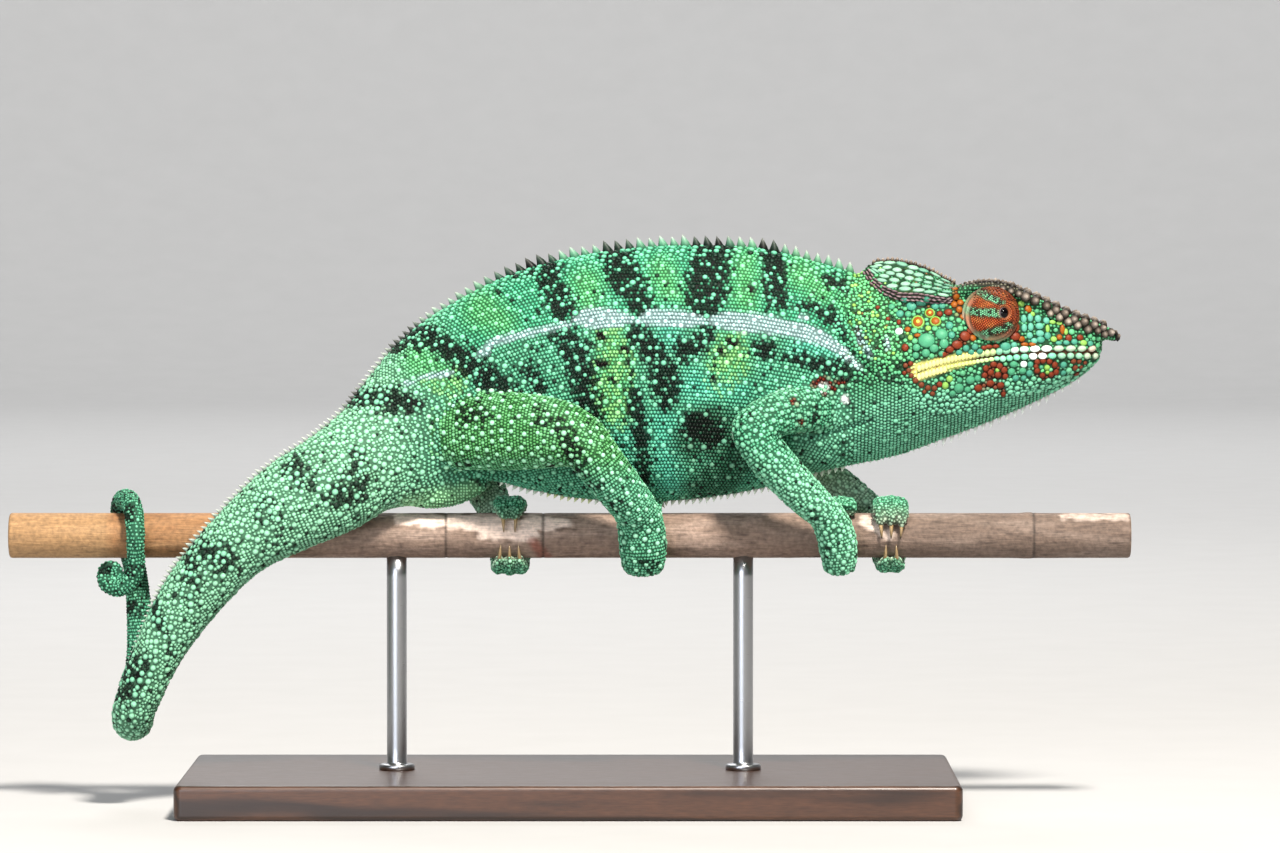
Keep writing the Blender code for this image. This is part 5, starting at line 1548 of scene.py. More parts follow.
def stand_rows(surface, layer):
    """Larger scales first, then the rows of granules between them."""
    dice = random.Random(SEED)
    sites = rows_of_scales()
    found = {}
    for i, site in enumerate(sites):
        root, up, away = surface.nearest(site[POSITION] * MM)
        if away < 1.3 * MM:
            found[i] = (root, up, in_mm(root))
    order = list(found)
    dice.shuffle(order)
    for i in order:
        root, up, where = found[i]
        size = head_size(where[0], where[2])
        if size == 0 or REGION_NAMES[int(sites[i][REGION])] not in ("head", "trunk"):
            continue
        for share in (1.15, 0.95, 0.75):
            shift = np.array([dice.uniform(-0.5, 0.5) for _ in range(3)]) * MM
            moved, up, _ = surface.nearest(root + shift)
            half = size * share * (0.9 + 0.2 * dice.random())
            if layer.take(i, moved, up, in_mm(moved), half, 0.3, 0.93, "plate"):
                break
    for level in range(2):
        tubercles = Crowd()
        for i in order:
            root, up, where = found[i]
            region, turn = REGION_NAMES[int(sites[i][REGION])], sites[i][ROUND] * 2 * math.pi
            if level >= len(BUMPS[region]):
                continue
            size, spacing, share, large = BUMPS[region][level]
            if region in ("trunk", "tail", "tail_end") and math.cos(turn) < -0.25:
                share *= 0.25
            if region in ("arm", "leg") and math.sin(turn) < -0.1:
                share *= 0.15
            if dice.random() > share:
                continue
            size *= 0.82 + 0.34 * dice.random()
            if tubercles.has_room(where, spacing / 2) and layer.take(i, root, up, where, size, large, 0.85, "tubercle"):
                tubercles.add(where, spacing / 2)
    for i, (root, up, where) in found.items():
        long, wide = REGIONS[REGION_NAMES[int(sites[i][REGION])]][2:4]
        layer.take(i, root, up, where, (long + wide) / 2, 0.0, 0.80, "granule")


def stand_below_spines(surface, layer):
    """A short column of tubercles, smaller and smaller, down each flank from every spine of the back."""
    for where, _ in back_spines():
        if where[0] < -40:
            break
        for side in (-1, 1):
            for down, out, size in ((1.7, 1.1, 0.88), (3.2, 1.8, 0.80), (4.6, 2.4, 0.70), (5.8, 3.0, 0.60)):
                root, up, _ = surface.nearest(place(where[0] - 0.25 * down, where[1] + side * out, where[2] - down))
                i = map_tree().find(Vector(root))[1]
                layer.take(i, root, up, in_mm(root), size, 0.6, 0.7, "tubercle")


def fill_gaps(surface, layer):
    """A small granule on each face of the skin that has room for one."""
    tree = KDTree(len(layer.chosen))
    for k, row in enumerate(layer.chosen):
        tree.insert(Vector(row[1]), k)
    tree.balance()
    for index, face in enumerate(surface.faces):
        middle = surface.points[list(face)].mean(axis=0)
        _, k, _ = tree.find(Vector(middle))
        layer.take(layer.chosen[k][0], middle, surface.smooth_normal(index), in_mm(middle), 0.38, 0.0, 0.88, "fill")


def lay_body_scales():
    """Stands every scale of the body on the skin, and returns a coat for each piece."""
    surface, layer, coats = skin_surface(), Layer(), {}

    def add_plate(kind, root, up, forward, sizes, tint, tip=None):
        site = nearest_rows([root])[0]
        coat = coats.setdefault("head_plates_right" if root[1] < 0 else "head_plates_left", Coat())
        coat.add(kind, root, up, forward, sizes, tint, site[MAP], tip)

    head_plates(add_plate, layer.crowd, surface)
    for root, _, radius, _ in crest_beads(surface):
        layer.crowd.add(in_mm(root), radius * 0.8)
    stand_below_spines(surface, layer)
    stand_rows(surface, layer)
    whole = len(layer.chosen)
    fill_gaps(surface, layer)
    print(f"{whole} scales in rows and {len(layer.chosen) - whole} between them")

    sites, forms, dice = rows_of_scales(), lofts(), random.Random(SEED + 1)
    rows = sites[[row[0] for row in layer.chosen]]
    places = np.array([in_mm(row[1]) for row in layer.chosen])
    large = np.array([row[4] for row in layer.chosen])
    tints = animal_colours(places, rows[:, REGION].astype(int), faced_up(rows), rows[:, DISTANCE], large)
    shares = {"plate": (1.10, 1.04, 0.50), "tubercle": (1.04, 1, 0.52)}
    for (_, root, up, size, _, kind), site, where, tint in zip(layer.chosen, rows, places, tints):
        loft = forms[int(site[LOFT])]
        coat = coats.setdefault(piece_of(loft, where), Coat())
        spot = nearest_spot(site, root, loft) if kind == "fill" else site[MAP]
        if kind in shares:
            sizes = [size * share for share in shares[kind]]
        else:
            vary = (0.91 + 0.17 * dice.random()) * (0.80 if kind == "fill" else 1)
            root = root + np.array([dice.uniform(-0.07, 0.07) for _ in range(3)]) * MM
            kind, sizes = "granule", [size * vary for size in REGIONS[loft.region][2:5]]
        coat.add(kind, root, up, site[WAY], sizes, tint, spot)
    return coats


def nearest_spot(site, root, loft):
    """The map place of a scale between the rows: the row's, moved by how far the scale is from it."""
    step = root / MM - site[POSITION]
    way = site[WAY] / max(1e-9, np.linalg.norm(site[WAY]))
    along = float(step @ way)
    round_it = math.sqrt(max(0.0, float(step @ step) - along * along))
    return site[7] + along * loft.scale, site[8] + round_it * loft.scale


# Spines

def top_and_bottom():
    """The back's and the belly's lines, in millimetres from the perch's axis."""
    ribs = rib_sections(RIB_STEPS)
    return [np.array([rib.middle + rib.up * sign * rib.half_height for rib in ribs]) for sign in (1, -1)]


def walk(points, pitch):
    """Places along a line and the way on from each, `pitch` apart, where pitch is a function of the place."""
    along = lengths_along(points)
    at = 0.0
    while at < along[-1]:
        where = at_length(at, along, points)
        yield where, at_length(min(at + 0.5, along[-1]), along, points) - where
        at += pitch(where)


def share_on_trunk(where):
    return float(np.clip((where[0] + 46) / 24, 0, 1))


def back_spines():
    """Where each spine of the back stands, and the way back along the body there."""
    _, sizes = settings()
    pitch = sizes.spine_pitch / MM
    return list(walk(top_and_bottom()[0], lambda p: 1.45 + (pitch - 1.45) * share_on_trunk(p)))


def lay_spines():
    surface, coat = skin_surface(), Coat()
    _, sizes = settings()
    dice = random.Random(SEED + 5)
    _, belly = top_and_bottom()
    spine, gular = sizes.spine / MM, sizes.gular / MM

    def stand(where, way, size, foot, tip, lean=0.45, breadth=0.42):
        root, up, _ = surface.nearest(place(*where))
        site = nearest_rows([root])[0]
        coat.add("cone", root - up * 0.15 * MM, up, way, (size * breadth, size * breadth * 0.8, size),
                 foot, site[MAP], tip, lean)

    roots = back_spines()
    flat = np.array([where for where, _ in roots])
    tones = animal_colours(flat, np.where(flat[:, 0] < -57, 1, 0), np.ones(len(flat)), np.zeros(len(flat)),
                           np.ones(len(flat)))
    dark = strokes_cover(flat[:, [0, 2]], DARK_BANDS, 2.6, 0)
    for (where, way), tone, black in zip(roots, tones, dark):
        on_trunk = share_on_trunk(where)
        faded = np.clip((where[2] + 44) / 30, 0.35, 1)
        size = (1.9 + (spine - 1.9) * on_trunk) * faded * (0.90 + 0.2 * dice.random())
        grey = rgb("#CDD0C8") * (1 - on_trunk) + rgb("#A3A8A0") * on_trunk
        tip = grey * (1 - 0.70 * black)
        foot = tone * (0.95 - 0.8 * black) * (0.35 + 0.65 * on_trunk) + tip * 0.4 * (1 - on_trunk)
        stand(where, way, size, foot, tip, 0.28, 0.42 + 0.07 * on_trunk)
    for where, way in walk(belly, lambda p: 1.8):
        if not -18 < where[0] < 72.5:
            continue
        yellow = 1.0 if -6 < where[0] < 7 else 0.0
        tip = rgb("#E9F4E4") * (1 - 0.5 * yellow) + rgb("#D9E27C") * 0.5 * yellow
        stand(where, way, 1.7 * (0.9 + 0.2 * dice.random()), tip * 0.75, tip, 0.35, 0.50)
    x = 73.6
    while x < 133.5:
        _, z = on_line(KEEL, x)
        grown = max(0.55, ramp(x, 80, 18)) * (1 if x < 126 else 0.75)
        tip = rgb("#F4FAF4")
        size = gular * grown * (0.88 + 0.24 * dice.random())
        stand((x, 0.25 * (-1) ** round(x), z), np.array((-1.0, 0, -0.2)), size, tip * 0.8, tip, 0.55, 0.46)
        x += 2.05 if grown > 0.6 else 1.6
    return coat


# Snout and brows

def lay_snout():
    surface, coat = skin_surface(), Coat()
    tint, sizes = settings()
    dice = random.Random(SEED + 9)
    grey = np.array(tint.crest)
    scale = sizes.snout / MM / 2.7
    for root, up, radius, row in crest_beads(surface):
        site = nearest_rows([root])[0]
        radius *= scale * (0.93 + 0.12 * dice.random())
        # Each bead is darkened at its foot as painted shade and lightened on its crown, mixed a little towards pale
        # grey, as a painted highlight
        warm = rgb("#8F8378") if dice.random() < 0.4 else grey
        tip = warm * 0.75 + rgb("#C4BBAF") * 0.18 * dice.random()
        if row == 2 and dice.random() < 0.4:
            tip = rgb("#9C9184")
        coat.add("bead", root, up, (1, 0, 0), (radius, radius * 0.96, radius), tip * 0.45,
                 site[MAP], tip * 1.1)
    return coat


# Eyes

def gaze_frame(side):
    gaze = Vector((GAZE.x, side * GAZE.y, GAZE.z))
    across = gaze.cross(Vector((0, 0, 1))).normalized()
    return gaze, across, across.cross(gaze)


def on_turret(side, lean, turn, lift=0.0):
    """A point on an eye's turret, `lean` from the way it looks, in millimetres from the perch's axis."""
    gaze, across, up = gaze_frame(side)
    way = gaze * math.cos(lean) + (across * math.cos(turn) + up * math.sin(turn)) * math.sin(lean)
    fold = 0.36 * fold_wave(rim_share(way.y * side))
    reach = 1 / math.sqrt(sum((w / r) ** 2 for w, r in zip(way, TURRET_RADII)))
    x, y, z = TURRET_CENTRE
    return Vector((x, side * y, z)) + way * (reach - 0.22 + fold + lift), way


def rim_share(outwards):
    """How far a place on a turret is into the folds at its rim, where `outwards` falls from 1 to 0."""
    return min(1.0, max(0.0, (0.68 - outwards) / 0.51))


def fold_wave(share):
    """The folds' wave at a share of the way into the rim: -1 in a valley, 1 on a ridge."""
    return math.sin((share * 2.6 + 0.1) * 2 * math.pi) * min(1, share * 4)


# Green bands across an eye's turret: strokes of x, height and half width
TURRET_BANDS = [
    [(101.6, 59.2, 0.7), (104.5, 58.2, 1), (111, 57.8, 0.9)],
    [(104.4, 64.2, 0.6), (107.2, 62.6, 0.95), (111.2, 60.6, 0.7)],
    [(103.6, 51.8, 0.7), (107.2, 52.5, 0.95), (113.6, 54.8, 0.8)],
]


def into_rim(points):
    """How far each point of either turret is into the folds at its rim."""
    x, y, z = TURRET_CENTRE
    ways = np.c_[points[:, 0] - x, np.abs(points[:, 1]) - y, points[:, 2] - z]
    return np.array([rim_share(out) for out in ways[:, 1] / np.linalg.norm(ways, axis=1)])


def toward_low_back(points):
    """How far each point of a turret is on its lower back side, whose rim is bare, from 0 to 1."""
    x, _, z = TURRET_CENTRE
    return np.clip(0.5 + (x - points[:, 0] + z - points[:, 2]) / 9, 0, 1)


def turret_colours(points, leans):
    tint, _ = settings()
    flat = points[:, [0, 2]]
    wobble = wavering(points, 1.3) * 0.45
    green = strokes_cover(flat, TURRET_BANDS, 0.5, wobble)
    lit = hashed(points, 41) < 0.62
    shares = into_rim(points)
    rim, low_back = np.clip(shares * 1.3, 0, 1), toward_low_back(points)
    fold = np.array([fold_wave(share) for share in shares])
    return layered(
        np.zeros((len(points), 3)) + np.array(tint.turret),
        ("#D88548", np.clip(1.3 * wavering(points, 2.2, 3.0) + 0.12, 0, 0.85)),
        ("#6E2A12", np.clip(wavering(points, 1.6, 8.0) - 0.05, 0, 0.8)),
        ("#14241A", 0.75 * strokes_cover(flat, TURRET_BANDS, 0.9, wobble - 0.45)),
        ("#78BE93", green * np.where(lit, 0.95, 0)),
        ("#12281C", green * np.where(lit, 0, 0.85)),
        ("#6A3319", rim * 0.7 * (1 - low_back)),
        ("#A39B82", rim * 0.85 * low_back),
        ("#4F9A6C", rim * 0.5 * low_back * (wavering(points, 3.0, 12.0) > 0.05)),
        # Painted shade in the valleys of the rim's folds
        ("#241E14", rim * np.clip(-1.4 * fold, 0, 1) * 0.9),
        ("#A9714A", 0.35 * np.clip((0.36 - leans) / 0.06, 0, 1)),
    )


def build_turret(side, name):
    """One eye's turret: the fused lids, with folds round them and a rim round the pupil."""
    shape = bmesh.new()
    rings = []
    open_at = 0.225
    for lean, lift in ((open_at - 0.05, -1.0), (open_at - 0.03, -0.45), (open_at, -0.05), (open_at + 0.04, 0.12),
                       (open_at + 0.09, 0.05), (open_at + 0.14, -0.03)):
        rings.append([place(*on_turret(side, lean, k * math.pi / 36, lift)[0]) for k in range(72)])
    for lean in np.linspace(open_at + 0.2, 2.35, 64):
        rings.append([place(*on_turret(side, lean, k * math.pi / 36)[0]) for k in range(72)])
    tube(shape, rings)
    obj = object_from(f"turret_{name}", shape)
    points = in_mm(vertices_of(obj.data))
    gaze = np.array(gaze_frame(side)[0])
    x, y, z = TURRET_CENTRE
    ways = points - (x, side * y, z)
    leans = np.arccos(np.clip(ways @ gaze / np.linalg.norm(ways, axis=1), -1, 1))
    # The skin under the granules is darkened, partly its own colour and partly painted shade in the gaps; the bare rim
    # keeps more of its colour
    bare = np.clip(into_rim(points) * 4, 0, 1) * toward_low_back(points)
    paint(obj.data, turret_colours(points, leans) * (0.40 + 0.50 * bare[:, None]))
    return obj


def turret_coat(side):
    """Rings of small granules round the pupil."""
    coat, rows = Coat(), []
    reach, pitch, ring_pitch = 7.0, 0.60, 0.56
    lean, ring = 0.29, 0
    while lean < 2.0:
        count = max(8, round(2 * math.pi * reach * math.sin(lean) / pitch))
        for k in range(count):
            turn = 2 * math.pi * (k + 0.5 * (ring % 2)) / count
            point, way = on_turret(side, lean, turn)
            ahead, _ = on_turret(side, lean, turn + 0.1)
            outward, _ = on_turret(side, lean + 0.05, turn)
            up = (ahead - point).cross(outward - point).normalized()
            if up.dot(way) < 0:
                up.negate()
            if rim_share(way.y * side) < 0.80 - 0.68 * toward_low_back(np.array([point]))[0]:
                rows.append((point, up, ahead - point, lean, turn))
        lean += ring_pitch / reach
        ring += 1
    points = np.array([row[0] for row in rows])
    tints = turret_colours(points, np.array([row[3] for row in rows]))
    tints *= (1 + 0.30 * (hashed(points, 40) - 0.5))[:, None]
    for (point, up, way, lean, turn), tint in zip(rows, tints):
        spot = (0.5 + 0.22 * lean * math.cos(turn), 0.5 + 0.22 * lean * math.sin(turn))
        coat.add("granule", place(*point), up, way, (pitch * 0.50, pitch * 0.45, 0.34), tint, spot)
    return coat


def build_eyeball(side, name):
    gaze, across, up = gaze_frame(side)
    reach = 1 / math.sqrt(sum((g / r) ** 2 for g, r in zip(gaze, TURRET_RADII)))
    x, y, z = TURRET_CENTRE
    middle = Vector((x, side * y, z)) + gaze * (reach + EYEBALL_STANDOUT - EYEBALL_RADIUS - 0.12)
    rings = []
    for lean in np.linspace(0.04, 2.6, 30):
        ring = []
        for k in range(40):
            turn = k * math.pi / 20
            way = gaze * math.cos(lean) + (across * math.cos(turn) + up * math.sin(turn)) * math.sin(lean)
            bulge = 0.10 * max(0.0, 1 - (lean / 0.6) ** 2)
            ring.append(place(*(middle + way * (EYEBALL_RADIUS + bulge))))
        rings.append(ring)
    shape = bmesh.new()
    tube(shape, rings)
    obj = object_from(f"eyeball_{name}", shape)
    points = in_mm(vertices_of(obj.data)) - np.array(middle)
    leans = np.arccos(np.clip(points @ np.array(gaze) / np.linalg.norm(points, axis=1), -1, 1))
    _, sizes = settings()
    edge = math.asin(min(0.95, sizes.pupil / MM / 2 / EYEBALL_RADIUS))
    paint(obj.data, layered(rgb("#050304"), ("#6A5C60", np.clip((leans - edge) / 0.10, 0, 1))))
    return obj


# Claws

def build_claws(foot, side):
    """The claws of one foot: hooked cones that leave the toes' tips and follow the perch's surface."""
    _, sizes = settings()
    root = sizes.claw / MM / 2
    shape = bmesh.new()
    _, knots = LIMBS[limb_of(foot)]
    x = knots[2][-1][0]
    for _, toes, _, half_tip, _, thick, _, end in TOES[foot]:
        sign = math.copysign(1, end)
        orbit = PERCH_RADIUS + GAP + thick / 2
        start = math.radians(end) + sign * (thick / 2 * 0.9 - CLAW_SINK) / orbit
        sweep = sign * (CLAW_LENGTH + CLAW_SINK) / (PERCH_RADIUS + 1)
        for toe in range(toes):
            across = ((toe + 0.5) / toes * 2 - 1) * half_tip * 0.78
            rings = []
            for t in np.linspace(0, 1, 15):
                level = 1.5 - 1.15 * t**1.6 + 0.5 * math.sin(math.pi * t) * t
                size = root * (1 - t) ** 0.62 + 0.05
                turn = start + sweep * t
                out = Vector((0, side * math.cos(turn), math.sin(turn)))
                middle = Vector((x + across * (1 - 0.12 * t), 0, 0)) + out * (PERCH_RADIUS + GAP + level)
                rings.append([
                    place(*(middle + (Vector((math.cos(k * math.pi / 8) * 0.8, 0, 0))
                                      + out * math.sin(k * math.pi / 8)) * size)) for k in range(16)])
            tube(shape, rings)
    obj = object_from(f"claws_{foot}", shape)
    points = in_mm(vertices_of(obj.data))
    away = np.degrees(np.arctan2(points[:, 2], side * points[:, 1]))
    shade = np.zeros(len(points))
    for *_, thick, _, end in TOES[foot]:
        sign = math.copysign(1, end)
        from_toe = (away - end) * sign % 360
        from_toe = np.where(from_toe > 180, 0, from_toe)
        shade = np.maximum(shade, np.where(np.sign(points[:, 2]) == sign, np.clip(from_toe / 50, 0, 1), 0))
    paint(obj.data, layered(rgb("#A98E63"), ("#3A2C1C", shade)))
    return obj


# Perch and stand

# Pale places along the branch's top, partly pale peeled bark and partly a painted highlight on its lit top: x, height,
# half width
PALE_PEEL_AND_HIGHLIGHTS = [
    [(-44, 4.4, 1.5), (-36, 4, 1.6), (-33, 4, 1.2)], [(-31.4, 3.8, 1.6), (-22, 3.4, 2), (-15, 3.6, 1.8)],
    [(-22, 1.2, 1.8), (-10.4, 0.8, 2.2)], [(-13, 3.2, 1.6), (-7.8, 3.4, 1.7)], [(-6, 3.2, 1.8), (-1, 3.4, 1.2)],
    [(76.4, 4, 1.2), (82.4, 0.6, 1.6)], [(128, 5, 0.8), (144, 5, 1)],
]
SCAR = [[(-9.6, -1.3, 1.2), (-6.5, -5.5, 1.6)]]
CRACKS = (-32.2, -6.8, 120.4)
BARE_END = 69.0  # the wood is bare further back than this, towards the tail
GROWTH_RING = 0.9


def build_perch():
    """The cut branch: a long cylinder, a little uneven, with shallow cracks round it and bevelled cut ends."""
    shape = bmesh.new()
    half, sides, rounding = PERCH_LENGTH / 2, 96, 0.7
    stops = [0.0, 0.12, 0.35, rounding]
    xs = [-half + s for s in stops] + list(np.arange(-half + 1.2, half - 1.0, 0.6)) + [half - s for s in stops[::-1]]
    rings = []
    for x in xs:
        end = min(x + half, half - x)
        round_off = rounding - math.sqrt(rounding**2 - max(0.0, rounding - end) ** 2)
        crack = sum(0.22 * math.exp(-((x - c) / 0.28) ** 2) for c in CRACKS)
        ring = []
        bark = ramp(x, -72, 8)
        for k in range(sides):
            turn = 2 * math.pi * k / sides
            y, z = math.cos(turn), math.sin(turn)
            spot = Vector((x * 0.02, y * 1.2, z * 1.2))
            wave = 0.10 * noise.noise(spot) + 0.05 * bark * noise.noise(Vector((x * 0.22, y * 5, z * 5)))
            lift = -0.17 + wave - round_off - crack * (0.6 + 0.4 * noise.noise(Vector((x * 3, y * 2, z * 2))))
            lift += 0.28 * math.exp(-((x - CRACKS[2] + 1.4) / 1.6) ** 2)
            radius = PERCH_RADIUS + min(0.0, lift)
            ring.append(place(x, y * radius, z * radius))
        rings.append(ring)
    tube(shape, rings)
    return object_from("perch_branch", shape)


def colour_perch(obj):
    points = in_mm(vertices_of(obj.data))
    flat = points[:, [0, 2]]
    x, z = flat.T
    drift = wavering(points * (0.12, 1, 1), 2.2)
    fine = wavering(points * (0.2, 1, 1), 0.7, 4.0)
    edge = 3.2 * wavering(points * (0.3, 1, 1), 3.0, 7.0)
    lenticels = np.clip(wavering(points * (0.6, 1.6, 1.6), 1.0, 22.0) * 2.4 - 1.0, 0, 1)
    ragged = 0.9 * wavering(points * (0.5, 1, 1), 1.4, 33.0) + 0.5 * fine
    plain = np.zeros((len(points), 3))
    bark = layered(
        plain + rgb("#7E695B"),
        ("#9C8779", np.clip(drift * 1.1 + 0.1, 0, 0.8)),
        ("#58473D", np.clip(fine * 1.4 - 0.2, 0, 0.75)),
        ("#4A3A30", lenticels * 0.7),
        # Pale places on the top: partly pale peel, partly a painted highlight
        ("#E8D2C3", strokes_cover(flat, PALE_PEEL_AND_HIGHLIGHTS, 0.9, ragged) * (0.75 + 0.25 * np.clip(fine, -1, 1))),
    )
    base = layered(
        plain + rgb("#88603A"),
        ("#9E7751", np.clip(drift * 0.8 + 0.2, 0, 1)),
        ("#674226", np.clip(fine * 0.9 - 0.1, 0, 0.5)),
        (bark, np.clip((x + BARE_END + edge - z * 0.5) / 2, 0, 1)),
        ("#7D3B2B", 0.6 * strokes_cover(flat, SCAR, 1.2, fine * 0.5)),
        *(("#2B211B", 0.85 * np.exp(-((x - crack - 0.2 * fine) / 0.30) ** 2)) for crack in CRACKS),
        ("#AE9167", np.clip((-x - 118) / 3, 0, 1) * 0.35),
    )
    base = base * (1 - 0.36 * np.clip((x - 50) / 45, 0, 1))[:, None]  # painted shadow: darker under the head
    growth = 0.5 + 0.5 * np.sin(np.hypot(points[:, 1], z) * 2 * math.pi / GROWTH_RING)
    face = rgb("#BD9D72") * (0.72 + 0.28 * growth)[:, None]
    cut = np.abs(x) > PERCH_LENGTH / 2 - 0.08
    paint(obj.data, np.clip(np.where(cut[:, None], face, base), 0, 1))


def add_disc_rings(obj):
    """Gives the perch's flat ends rings of faces, so that the growth rings show."""
    shape = bmesh.new()
    shape.from_mesh(obj.data)
    ends = [face for face in shape.faces if len(face.verts) > 20]
    for _ in range(10):
        made = bmesh.ops.inset_individual(shape, faces=ends, thickness=GROWTH_RING / 2 * MM, depth=0)
        ends = [face for face in ends if face.is_valid]
        if not made["faces"]:
            break
    bmesh.ops.triangulate(shape, faces=[face for face in shape.faces if len(face.verts) > 20])
    shape.to_mesh(obj.data)
    shape.free()


def build_base():
    shape = bmesh.new()
    bmesh.ops.create_cube(shape, size=1)
    for vert in shape.verts:
        vert.co = (vert.co.x * BASE_LENGTH * MM, vert.co.y * BASE_WIDTH * MM,
                   (vert.co.z + 0.5) * BASE_THICKNESS * MM)

    def bevel(edges, width):
        bmesh.ops.bevel(shape, geom=edges, offset=width * MM, offset_type="OFFSET", segments=6, profile=0.5,
                        affect="EDGES", material=-1)

    bevel([e for e in shape.edges if abs(e.verts[0].co.z - e.verts[1].co.z) > 1e-4], 2.2)
    bevel([e for e in shape.edges if abs(e.verts[0].co.z - e.verts[1].co.z) < 1e-7 and len(e.link_faces) == 2
           and any(abs(face.normal.z) > 0.9 for face in e.link_faces)
           and any(abs(face.normal.z) < 0.1 for face in e.link_faces)], 1.4)
    obj = object_from("stand_board", shape)
    obj.modifiers.new("flat faces stay flat", "WEIGHTED_NORMAL").keep_sharp = True
    return obj


def build_rod(name, x):
    """A turned steel rod with a low collar where it meets the base."""
    shape = bmesh.new()
    foot = BASE_THICKNESS + 0.02
    top = PERCH_HEIGHT - math.sqrt(PERCH_RADIUS**2 - ROD_RADIUS**2) + 0.35
    profile = [(4.6, foot), (4.6, foot + 1.1), (4.45, foot + 1.4), (4.1, foot + 1.55), (ROD_RADIUS + 0.35, foot + 1.6),
               (ROD_RADIUS + 0.1, foot + 1.72), (ROD_RADIUS, foot + 2.0)]
    profile += [(ROD_RADIUS, z) for z in np.linspace(foot + 6, top, 10)]
    rings = []
    for radius, z in profile:
        rings.append([
            Vector((x + radius * math.cos(k * math.pi / 32), radius * math.sin(k * math.pi / 32), z)) * MM
            for k in range(64)])
    tube(shape, rings)
    return object_from(name, shape)


# Materials

class Nodes:
    """Adds shader nodes to one material."""

    def __init__(self, name):
        self.material = bpy.data.materials.new(name)
        self.material.use_nodes = True
        self.tree = self.material.node_tree
        self.tree.nodes.clear()
        self.shader = self.add("ShaderNodeBsdfPrincipled")
        self.add("ShaderNodeOutputMaterial", {"Surface": (self.shader, "BSDF")})

    def add(self, kind, inputs=None, **settings_):
        node = self.tree.nodes.new(kind)
        for name, value in settings_.items():
            setattr(node, name, value)
        self.feed(node, inputs or {})
        return node

    def feed(self, node, inputs):
        """Sets inputs of a node, each to a value or to a (node, output) that it is linked to."""
        for name, value in inputs.items():
            if isinstance(value, tuple) and hasattr(value[0], "outputs"):
                self.tree.links.new(value[0].outputs[value[1]], node.inputs[name])
            else:
                node.inputs[name].default_value = value

    def set(self, **inputs):
        self.feed(self.shader, {name.replace("_", " "): value for name, value in inputs.items()})
        return self.material

    def here(self, squeeze=None):
        """The object's own coordinates, which may be squeezed along an axis so that a texture is drawn out."""
        where = (self.add("ShaderNodeTexCoord"), "Object")
        if squeeze is None:
            return where
        return self.add("ShaderNodeMapping", {"Vector": where, "Scale": squeeze}), "Vector"

    def noise(self, where, scale, detail, **more):
        return self.add("ShaderNodeTexNoise", {"Vector": where, "Scale": scale, "Detail": detail, **more}), "Fac"

    def spread(self, source, low, high, **more):
        return self.add("ShaderNodeMapRange", {"Value": source, "To Min": low, "To Max": high, **more}), "Result"

    def tint(self):
        return self.add("ShaderNodeAttribute", attribute_name="Tint"), "Color"

    def scaled(self, vector, factor):
        return self.add("ShaderNodeVectorMath", {0: vector, "Scale": factor}, operation="SCALE"), "Vector"

    def bump(self, height, strength, distance):
        inputs = {"Strength": strength, "Distance": distance, "Height": height}
        return self.add("ShaderNodeBump", inputs), "Normal"

    def both(self, one, other, operation):
        return self.add("ShaderNodeMath", {0: one, 1: other}, operation=operation), "Value"


def scale_material(name, roughness, strength, coat=0.0):
    """A vertex-painted surface with grain of a third of a millimetre in its colour, roughness and relief."""
    made = Nodes(name)
    grain = made.noise(made.here(), 3000.0, 3.0)
    if coat:
        made.set(Coat_Weight=coat, Coat_Roughness=0.35)
    return made.set(
        Base_Color=made.scaled(made.tint(), made.spread(grain, 0.86, 1.14)), Specular_IOR_Level=0.15,
        Roughness=made.spread(grain, roughness - 0.08, roughness + 0.12), Normal=made.bump(grain, strength, 0.00006))


@lru_cache
def materials():
    return {
        # Skin between the scales: dry and fine-grained; dark, partly its own colour and partly painted shade in the
        # gaps
        "skin": scale_material("chameleon skin", 0.62, 0.5),
        # Keratin scales: satin and each a little mottled; their painted colour is darker at the foot as painted shade
        # and paler on the crown, partly their own paler crowns and partly a painted highlight
        "scales": scale_material("keratin scales", 0.42, 0.35),
        # Rough horny tubercles of the snout and the brows
        "crest": scale_material("horny crest", 0.5, 0.7, 0.08),
        # Dry granular eyelid
        "eyelid": scale_material("granular eyelid", 0.5, 0.4, 0.05),
        "eye": eye_material(),
        "claw": claw_material(),
        "bark": bark_material(),
        "wood": wood_material(),
        "steel": steel_material(),
        "floor": floor_material(),
    }


def eye_material():
    """Wet cornea over a black pupil and a dull metallic iris."""
    made = Nodes("wet eye")
    return made.set(
        Base_Color=made.tint(), Roughness=0.06, Specular_IOR_Level=0.1, Coat_Weight=0.12, Coat_Roughness=0.02)


def claw_material():
    """Horn: satin, streaked along its length."""
    made = Nodes("claw horn")
    tone = made.spread(made.noise(made.here(), 2500.0, 2.0), 0.8, 1.2)
    return made.set(
        Base_Color=made.scaled(made.tint(), tone), Roughness=0.3, Coat_Weight=0.3, Coat_Roughness=0.15)


def bark_material():
    """Dry, thin bark and bare wood: matt, with fibres along the branch about 0.3 mm apart."""
    made = Nodes("dry bark")
    fibre = made.noise(made.here((0.06, 1.0, 1.0)), 3200.0, 5.0, Roughness=0.62)
    both = made.both(fibre, made.noise(made.here(), 900.0, 4.0), "ADD")
    tone = made.spread(both, 0.50, 1.44, **{"From Min": 0.6, "From Max": 1.4})
    return made.set(
        Base_Color=made.scaled(made.tint(), tone), Roughness=0.78, Normal=made.bump(both, 0.8, 0.00022))


